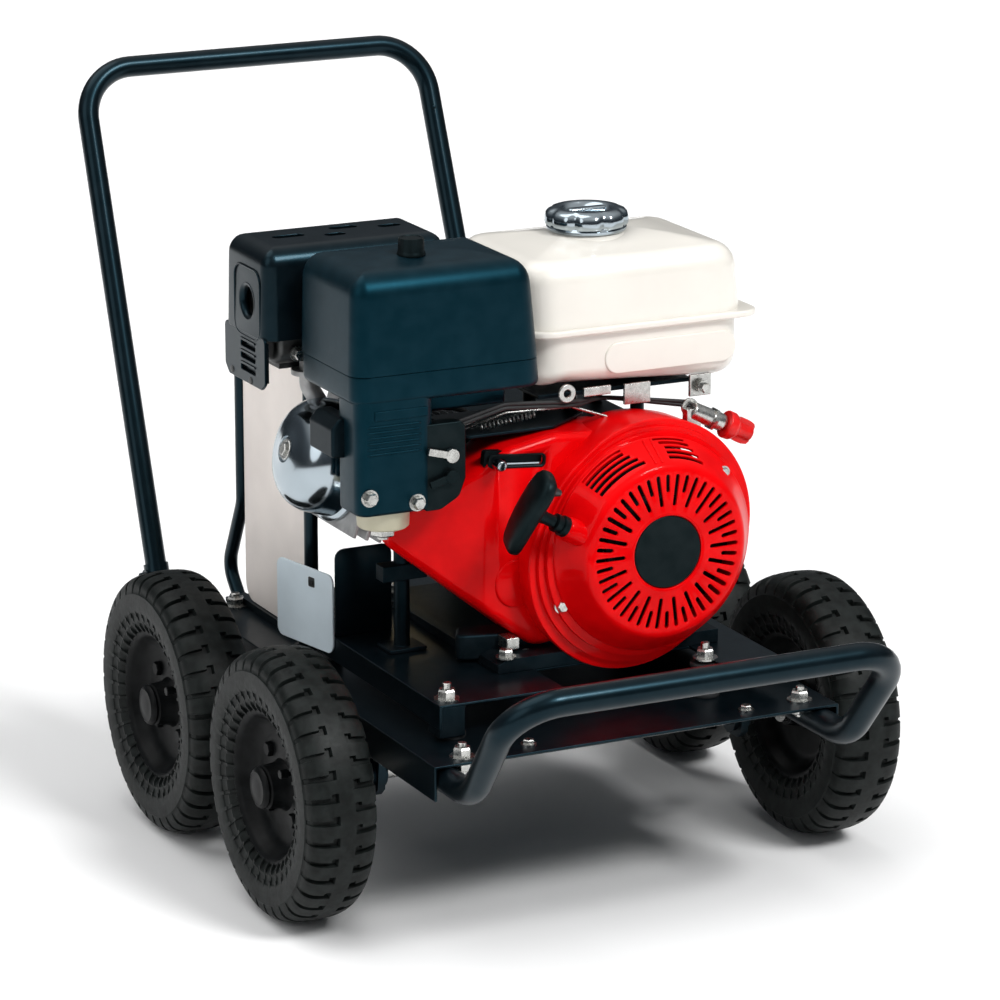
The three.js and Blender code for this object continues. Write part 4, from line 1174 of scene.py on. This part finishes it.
def carburettor():
    soften("carburettor", bevel=1.5, segments=3)
    bowl = [(0, 404), (27, 404), (27.3, 402.6), (26.8, 400.6), (26.2, 399.6), (25.4, 386), (23.6, 384.4),
            (16, 383.6), (0, 383.6)]
    add("float_bowl_cup", lathe(bmesh.new(), bowl, BOWL_AXIS, Z, 64), "cream_plastic",
        stands_for=("float_bowl",), smooth=45)
    nut = lathe(bmesh.new(), disc_of(14, 383.8, 381.6), BOWL_AXIS, Z, 32)
    hexagon(nut, at(-192, -148, 381.8), -Z, 22, 7)
    lathe(nut, disc_of(6, 375, 371.5), BOWL_AXIS, Z, 24)
    add("float_bowl_nut", nut, "zinc", smooth=30)
    soften("choke_lever", "choke", bevel=1.2, segments=3)
    soften("fuel_valve_lever", "fuel_valve", bevel=1.2, segments=3)
    panel = bmesh.new()
    outline = [(-162, 403), (-146, 403), (-126, 414), (-119, 432), (-119, 484), (-124, 489), (-162, 489)]
    prism(panel, fillet(outline, [2, 12, 12, 10, 5, 3, 2]), facing_y, -182, -166)
    block(panel, -150, -120, -178, -150, 462, 466)
    add("lever_panel", panel, "black_plastic", bevel=1.5, segments=3)
    lever = bmesh.new()
    lathe(lever, [(0, -8), (5, -8), (5.6, -6), (5.6, 3), (4.4, 5), (0, 5.6)], at(-85, -188, 441.5), -Y, 32)
    prism(lever, fillet([(-63, -140), (-55, -140), (-80, -187), (-87, -187)], 2), facing_z, 439.6, 441.4)
    lathe(lever, [(0, 438), (7, 438), (7, 445), (5, 447), (0, 447)], at(-58, -143, 0), Z, 24)
    add("throttle_arm", lever, "chrome", "throttle", ("throttle_lever",), bevel=0.5)
    rail = prism(bmesh.new(), rounded_rectangle(-22, 26, -4.5, -2.2, 0.8), on_slot, -171.5, -167)
    add("throttle_rail", rail, "chrome", bevel=0.5)
    # A black block at the bottom of the throttle slot is painted shade: it makes the slot's floor read dark.
    back = prism(bmesh.new(), rounded_rectangle(-33, 33, -9, 9, 3), on_slot, -168, -160)
    add("throttle_slot_back", back, "black_plastic")


LID_LEFT, LID_RIGHT, LID_LOW, LID_HIGH, LID_LEAN = -237, -42, 516, 642, 9


def slant_right(bm):
    """Leans the right-hand side of the air cleaner inwards with height."""
    for vertex in bm.verts:
        x = (vertex.co.x / MM - LID_LEFT) / (LID_RIGHT - LID_LEFT)
        share = 1.25 - (vertex.co.z / MM - LID_LOW) / (LID_HIGH - LID_LOW) * 1.9
        vertex.co.x += max(0.0, x) * share * LID_LEAN * 0.62 * MM


def air_cleaner():
    lid = cushion(bmesh.new(), facing_z, (LID_LEFT, LID_RIGHT), (-185, -46), (543, LID_HIGH), 18,
                  high_round=24, taper=2, crown=4)
    slant_right(lid)
    add("air_cleaner_lid", lid, "cover_plastic", stands_for=("air_cleaner_cover",), smooth=60)
    tray = cushion(bmesh.new(), facing_z, (-236, -42), (-184, -47), (514, 542.2), 18, 6, 0.8)
    slant_right(tray)
    add("air_cleaner_tray", tray, "cover_plastic", stands_for=("air_cleaner_body",), smooth=60)
    elbow = cushion(bmesh.new(), facing_z, (-233, -151), (-183, -128), (404, 520), 14, 5, 0, steps=6)
    add("air_cleaner_elbow", elbow, "cover_plastic", smooth=60)
    core = block(bmesh.new(), -214, -150, -160, -104, 412, 516)
    block(core, -153, -60, -150, -70, 492, 515)
    add("air_cleaner_core", core, "cover_plastic", bevel=4, segments=3)
    ribs = bmesh.new()
    for k in range(6):
        z = 465 + 5.4 * k
        cushion(ribs, facing_z, (-224, -166), (-184.3, -176), (z, z + 2), 4, 0.8, 0.8, steps=3)
    block(ribs, -216, -160, -184.2, -176, 499, 508)
    add("air_cleaner_ribs", ribs, "cover_plastic", bevel=0.6)
    bolts_piece("air_cleaner_bolts", [(-222, -183, 424), (-172, -183, 414)], -Y, 11, 7)
    knob = bmesh.new()
    lathe(knob, [(0, 644), (13.4, 644), (14, 645), (14, 646.4), (13.4, 648), (12.8, 650), (12.6, 660.6),
                 (11.8, 662), (9.6, 662.6), (8.8, 661.6), (0, 661.6)], NUT_AXIS, Z, 72)
    flute(knob, NUT_AXIS, 651.5, 661.5, 11, ribs_of(18, 0.06))
    add("air_cleaner_nut", knob, "black_plastic", "cleaner_nut", ("air_cleaner_knob",), smooth=40)


def exhaust():
    can = cushion(bmesh.new(), facing_x, (-20, 54), (518, 618), (-246, -78), 20, 8, 8)
    lathe(can, [(11, -8), (13.6, -8), (14, 0), (15.4, 2.4), (15.4, 3.6), (13, 4), (11, 3.6), (11, -8)],
          at(-249, EXHAUST_Y, EXHAUST_Z), -X, 48)
    lathe(can, disc_of(11.2, 0, 1), at(-246.8, EXHAUST_Y, EXHAUST_Z), -X, 24)
    block(can, -235, -110, 0, 40, 512, 518)
    add("muffler_can", can, "steel", stands_for=("muffler",), smooth=50)
    pipe = bent_bar(bmesh.new(), [(-210, -14, 522), (-210, -14, 496), (-196, -20, 470)], [16], 9, 24)
    lathe(pipe, disc_of(17, 0, 5), at(-210, -14, 508), Z, 32)
    add("exhaust_flange", pipe, "cast_alloy", smooth=40)
    bolts_piece("exhaust_nut", [(-226, -24, 532)], -Y, 10, 6)


def muffler_guard():
    outer = cushion(bmesh.new(), facing_z, (-265, -66), (-36, 68), (549, 640), 15, 0, 18, taper=2)
    inner = cushion(bmesh.new(), facing_z, (-262, -69), (-33, 65), (540, 637), 12, 0, 15, taper=2)
    guard = add("guard_hood", outer, "frame_black", stands_for=("muffler_guard",), smooth=50)
    carve(guard, inner)
    holes = rod(bmesh.new(), at(-275, EXHAUST_Y, EXHAUST_Z), at(-250, EXHAUST_Y, EXHAUST_Z), 17, 48, 0)
    for (x, y), length in (((-215, 20), 34), ((-170, 8), 22), ((-150, 34), 30), ((-105, 22), 24)):
        prism(holes, rounded_rectangle(x - length / 2, x + length / 2, y - 6, y + 6, 5.9), facing_z, 622, 660)
    carve(guard, holes)
    skirt = bmesh.new()
    skirt_outline = fillet([(-33, 552), (-33, 506), (-24, 499), (56, 499), (66, 508), (66, 552)], 6)
    prism(skirt, skirt_outline, facing_x, -264.7, -261.6)
    apron = add("guard_skirt", skirt, "frame_black")
    louvres = bmesh.new()
    for z in (513, 525, 537):
        prism(louvres, rounded_rectangle(-10, 26, z - 2.6, z + 2.6, 1.5), facing_x, -268, -258)
    carve(apron, louvres)
    # A dark sheet just behind the louvres is painted shade: it makes the louvre holes read dark.
    shade = block(bmesh.new(), -260.6, -258, -28, 50, 506, 546)
    add("guard_backing", shade, "frame_black")
    for piece in (guard, apron):
        round_edges(piece, 0.6)
    trim = bmesh.new()
    outline = rounded_rectangle(-22, 40, 546, 616, 14, 8)
    path = [at(-264.2, y, z) for y, z in outline]
    sweep(trim, path + [path[0]], 1.1, 8)
    lathe(trim, [(14.4, 6), (17.5, 6), (19.5, 0.4), (19, -0.6), (16.6, -0.2), (14.4, 3), (14.4, 6)],
          at(-264, EXHAUST_Y, EXHAUST_Z), X, 48)
    for z in (519, 531, 543):
        prism(trim, rounded_rectangle(-10, 26, z - 2.2, z - 0.2, 0.9), facing_x, -265.8, -263)
    add("guard_trim", trim, "frame_black", smooth=50)
    screws = bmesh.new()
    for y, z in ((2, 503), (48, 505)):
        lathe(screws, [(0, 0), (4, 0), (3.4, 1.6), (0, 2.2)], at(-264, y, z), -X, 20)
    add("guard_screws", screws, "steel", smooth=40)


def engine_switch():
    axis = Vector((0.9, -0.06, -0.43)).normalized()
    foot = at(146, -172, 462)

    def along(distance):
        return foot + axis * distance * MM

    barrel = [(0, -14), (8, -14), (9, -12.6), (9, 8), (8.2, 9.4), (9, 10.6), (9, 22), (7.6, 25.4), (0, 25.6)]
    body = lathe(bmesh.new(), barrel, foot, axis, 32)
    block(body, 126, 142, -176, -166, 434, 470)
    add("switch_body", body, "zinc", stands_for=("engine_switch_body",), bevel=0.8)
    nut = bmesh.new()
    hexagon(nut, along(10), axis, 21, 4)
    add("switch_nut", nut, "zinc", smooth=30)
    knob = bmesh.new()
    lathe(knob, [(0, 26.4), (13.6, 26.4), (14.2, 27.4), (14, 34), (12.6, 37), (9, 40.5), (8.4, 44), (8.2, 54),
                 (7.4, 57), (5, 58.4), (0, 58.6)], foot, axis, 40)
    side = axis.cross(Z).normalized()
    up = side.cross(axis).normalized()
    rings = []
    wing = ((37, 3.4, 10), (42, 4.0, 12.4), (50, 4.0, 12.4), (56, 3.4, 11), (58.6, 2.2, 8))
    for distance, wide, tall in wing:
        rings.append([along(distance) + (side * wide * c + up * tall * s) * MM
                      for c, s in ((1, 1), (-1, 1), (-1, -1), (1, -1))])
    loft(knob, rings)
    add("switch_knob", knob, "red_plastic", "ignition", ("engine_switch_knob",), bevel=1.4, segments=3)


# -------------------------------------------------------------------- pump

def pump():
    soften("pump_crankcase", bevel=2.2, segments=3)
    soften("pump_head", bevel=1.4, segments=3)
    glass = lathe(bmesh.new(), [(0, 0), (13, 0), (13, 3), (10.4, 4.4), (10, 3.2), (0, 3.2)],
                  at(CRANK_X, 205, 336), Y, 40)
    add("pump_sight_glass", glass, "chrome", smooth=40)
    cap = lathe(bmesh.new(), [(0, 0), (12, 0), (12, 6), (10, 9), (0, 9.4)], at(100, 150, 424), Z, 32)
    block(cap, 96.5, 103.5, 140, 160, 432, 437)
    add("pump_filler_cap", cap, "black_plastic", bevel=0.8)
    bolts = bmesh.new()
    for turn in range(4):
        angle = math.radians(45 + 90 * turn)
        bolt(bolts, at(CRANK_X + 56 * math.cos(angle), 86, CRANK_Z + 56 * math.sin(angle)), Y, 13, 7)
    for z in (316, 394):
        for y in (102, 130, 160, 188):
            bolt(bolts, at(-80, y, z), -X, 10, 6)
    for y, z in ((88, 300), (88, 408), (200, 300), (200, 408)):
        bolt(bolts, at(120, y + (6 if y < 100 else -8), z), X, 8, 22)
    add("pump_bolts", bolts, "zinc", smooth=30)
    inlet = [(10, 194.3), (15, 194.3), (15, 199), (18, 200), (18, 212), (15, 213.4)]
    for y in range(216, 232, 4):
        inlet += [(14.4, y), (15.4, y + 2)]
    inlet += [(14.4, 232), (14.8, 236), (13.4, 238), (10, 238)]
    outlet = [(5, 194.3), (10, 194.3), (10, 199), (13, 200), (13, 210), (10.4, 211.4)]
    for y in (214, 217.2, 220.4):
        outlet += [(10, y), (10.8, y + 1.6)]
    outlet += [(10, 223.6), (10.6, 226), (9.4, 231.6), (5, 232)]
    for node, slot, profile in (("water_inlet", "brass", inlet), ("pressure_outlet", "zinc", outlet)):
        foot = at(-52, 0, 338) if node == "water_inlet" else at(-30, 0, 378)
        fitting = lathe(bmesh.new(), closed(profile), foot, Y, 48)
        add(node + "_fitting", fitting, slot, stands_for=(node,), smooth=40)
    profile = [(0, 432.4), (8, 432.4), (8, 435), (15, 436.4), (16, 438.4), (16, 451), (14.6, 454.6), (11, 456),
               (0, 456.4)]
    knob = lathe(bmesh.new(), profile, UNLOADER_AXIS, Z, 64)
    flute(knob, UNLOADER_AXIS, 437, 453, 12, ribs_of(8, 0.10))
    add("unloader_wheel", knob, "black_plastic", "unloader", ("unloader_knob",), smooth=40)


wheels()
axles()
chassis_tube()
push_handle()
trolley_sheets()
side_hoop()
guard_plates()
engine_core()
rocker_cover()
small_engine_parts()
fan_shroud()
recoil_cover()
recoil_rope()
fuel_tank()
tank_support()
carburettor()
air_cleaner()
exhaust()
muffler_guard()
engine_switch()
pump()


# ------------------------------------------------------------------- stage

FLOOR_HALF, FLOOR_DROP = 9.0, 0.0005


def stage():
    bm = bmesh.new()
    quarters = ((-1, -1), (1, -1), (1, 1), (-1, 1))
    bm.faces.new([bm.verts.new((x * FLOOR_HALF, y * FLOOR_HALF, 0)) for x, y in quarters])
    floor = object_of("floor", bm)
    floor.location.z = -FLOOR_DROP
    material = bpy.data.materials.new("floor")
    material.use_nodes = True
    shader = material.node_tree.nodes["Principled BSDF"]
    shader.inputs["Base Color"].default_value = (0.92, 0.92, 0.92, 1)
    shader.inputs["Roughness"].default_value = 0.9
    floor.data.materials.append(material)
    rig.stage(floor)

    def light(kind, name, place, target, strength, size):
        data = bpy.data.lights.new(name, kind)
        data.energy = strength
        if kind == "SUN":
            data.angle = math.radians(size)
        else:
            data.shape = "DISK"
            data.size = size
        lamp = bpy.data.objects.new(name, data)
        lamp.location = place
        lamp.rotation_mode = "QUATERNION"
        lamp.rotation_quaternion = (Vector(target) - Vector(place)).to_track_quat("-Z", "Y")
        bpy.context.scene.collection.objects.link(lamp)

    light("SUN", "key", (1.0, -2.4, 3.0), (0, 0, 0.3), 2.0, 16)
    light("SUN", "side", (-3.0, -1.0, 1.9), (0, 0, 0.3), 0.55, 40)
    light("SUN", "top", (-0.8, 0.6, 3.0), (0, 0, 0.3), 1.0, 50)
    light("AREA", "glint", (0.6, -2.6, 2.6), (0, 0, 0.4), 14, 0.5)
    world = bpy.data.worlds.new("studio")
    world.use_nodes = True
    tree = world.node_tree
    place = tree.nodes.new("ShaderNodeTexCoord")
    split = tree.nodes.new("ShaderNodeSeparateXYZ")
    sky = tree.nodes.new("ShaderNodeValToRGB")
    sky.color_ramp.elements[0].position = 0.04
    sky.color_ramp.elements[0].color = (0.05, 0.06, 0.07, 1)
    sky.color_ramp.elements[1].position = 0.75
    sky.color_ramp.elements[1].color = (1.0, 1.0, 1.0, 1)
    low = sky.color_ramp.elements.new(0.34)
    low.color = (0.16, 0.18, 0.20, 1)
    tree.links.new(place.outputs["Generated"], split.inputs["Vector"])
    tree.links.new(split.outputs["Z"], sky.inputs["Fac"])
    tree.links.new(sky.outputs["Color"], tree.nodes["Background"].inputs["Color"])
    tree.nodes["Background"].inputs["Strength"].default_value = 0.62
    bpy.context.scene.world = world
    bpy.context.scene.view_settings.view_transform = "Standard"


stage()


# ------------------------------------------------------------------ finish

low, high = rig.bounds()
with open("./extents.json", "w") as sizes:
    json.dump({"cad": [list(cad_low), list(cad_high)], "visual": [list(low), list(high)]}, sizes)
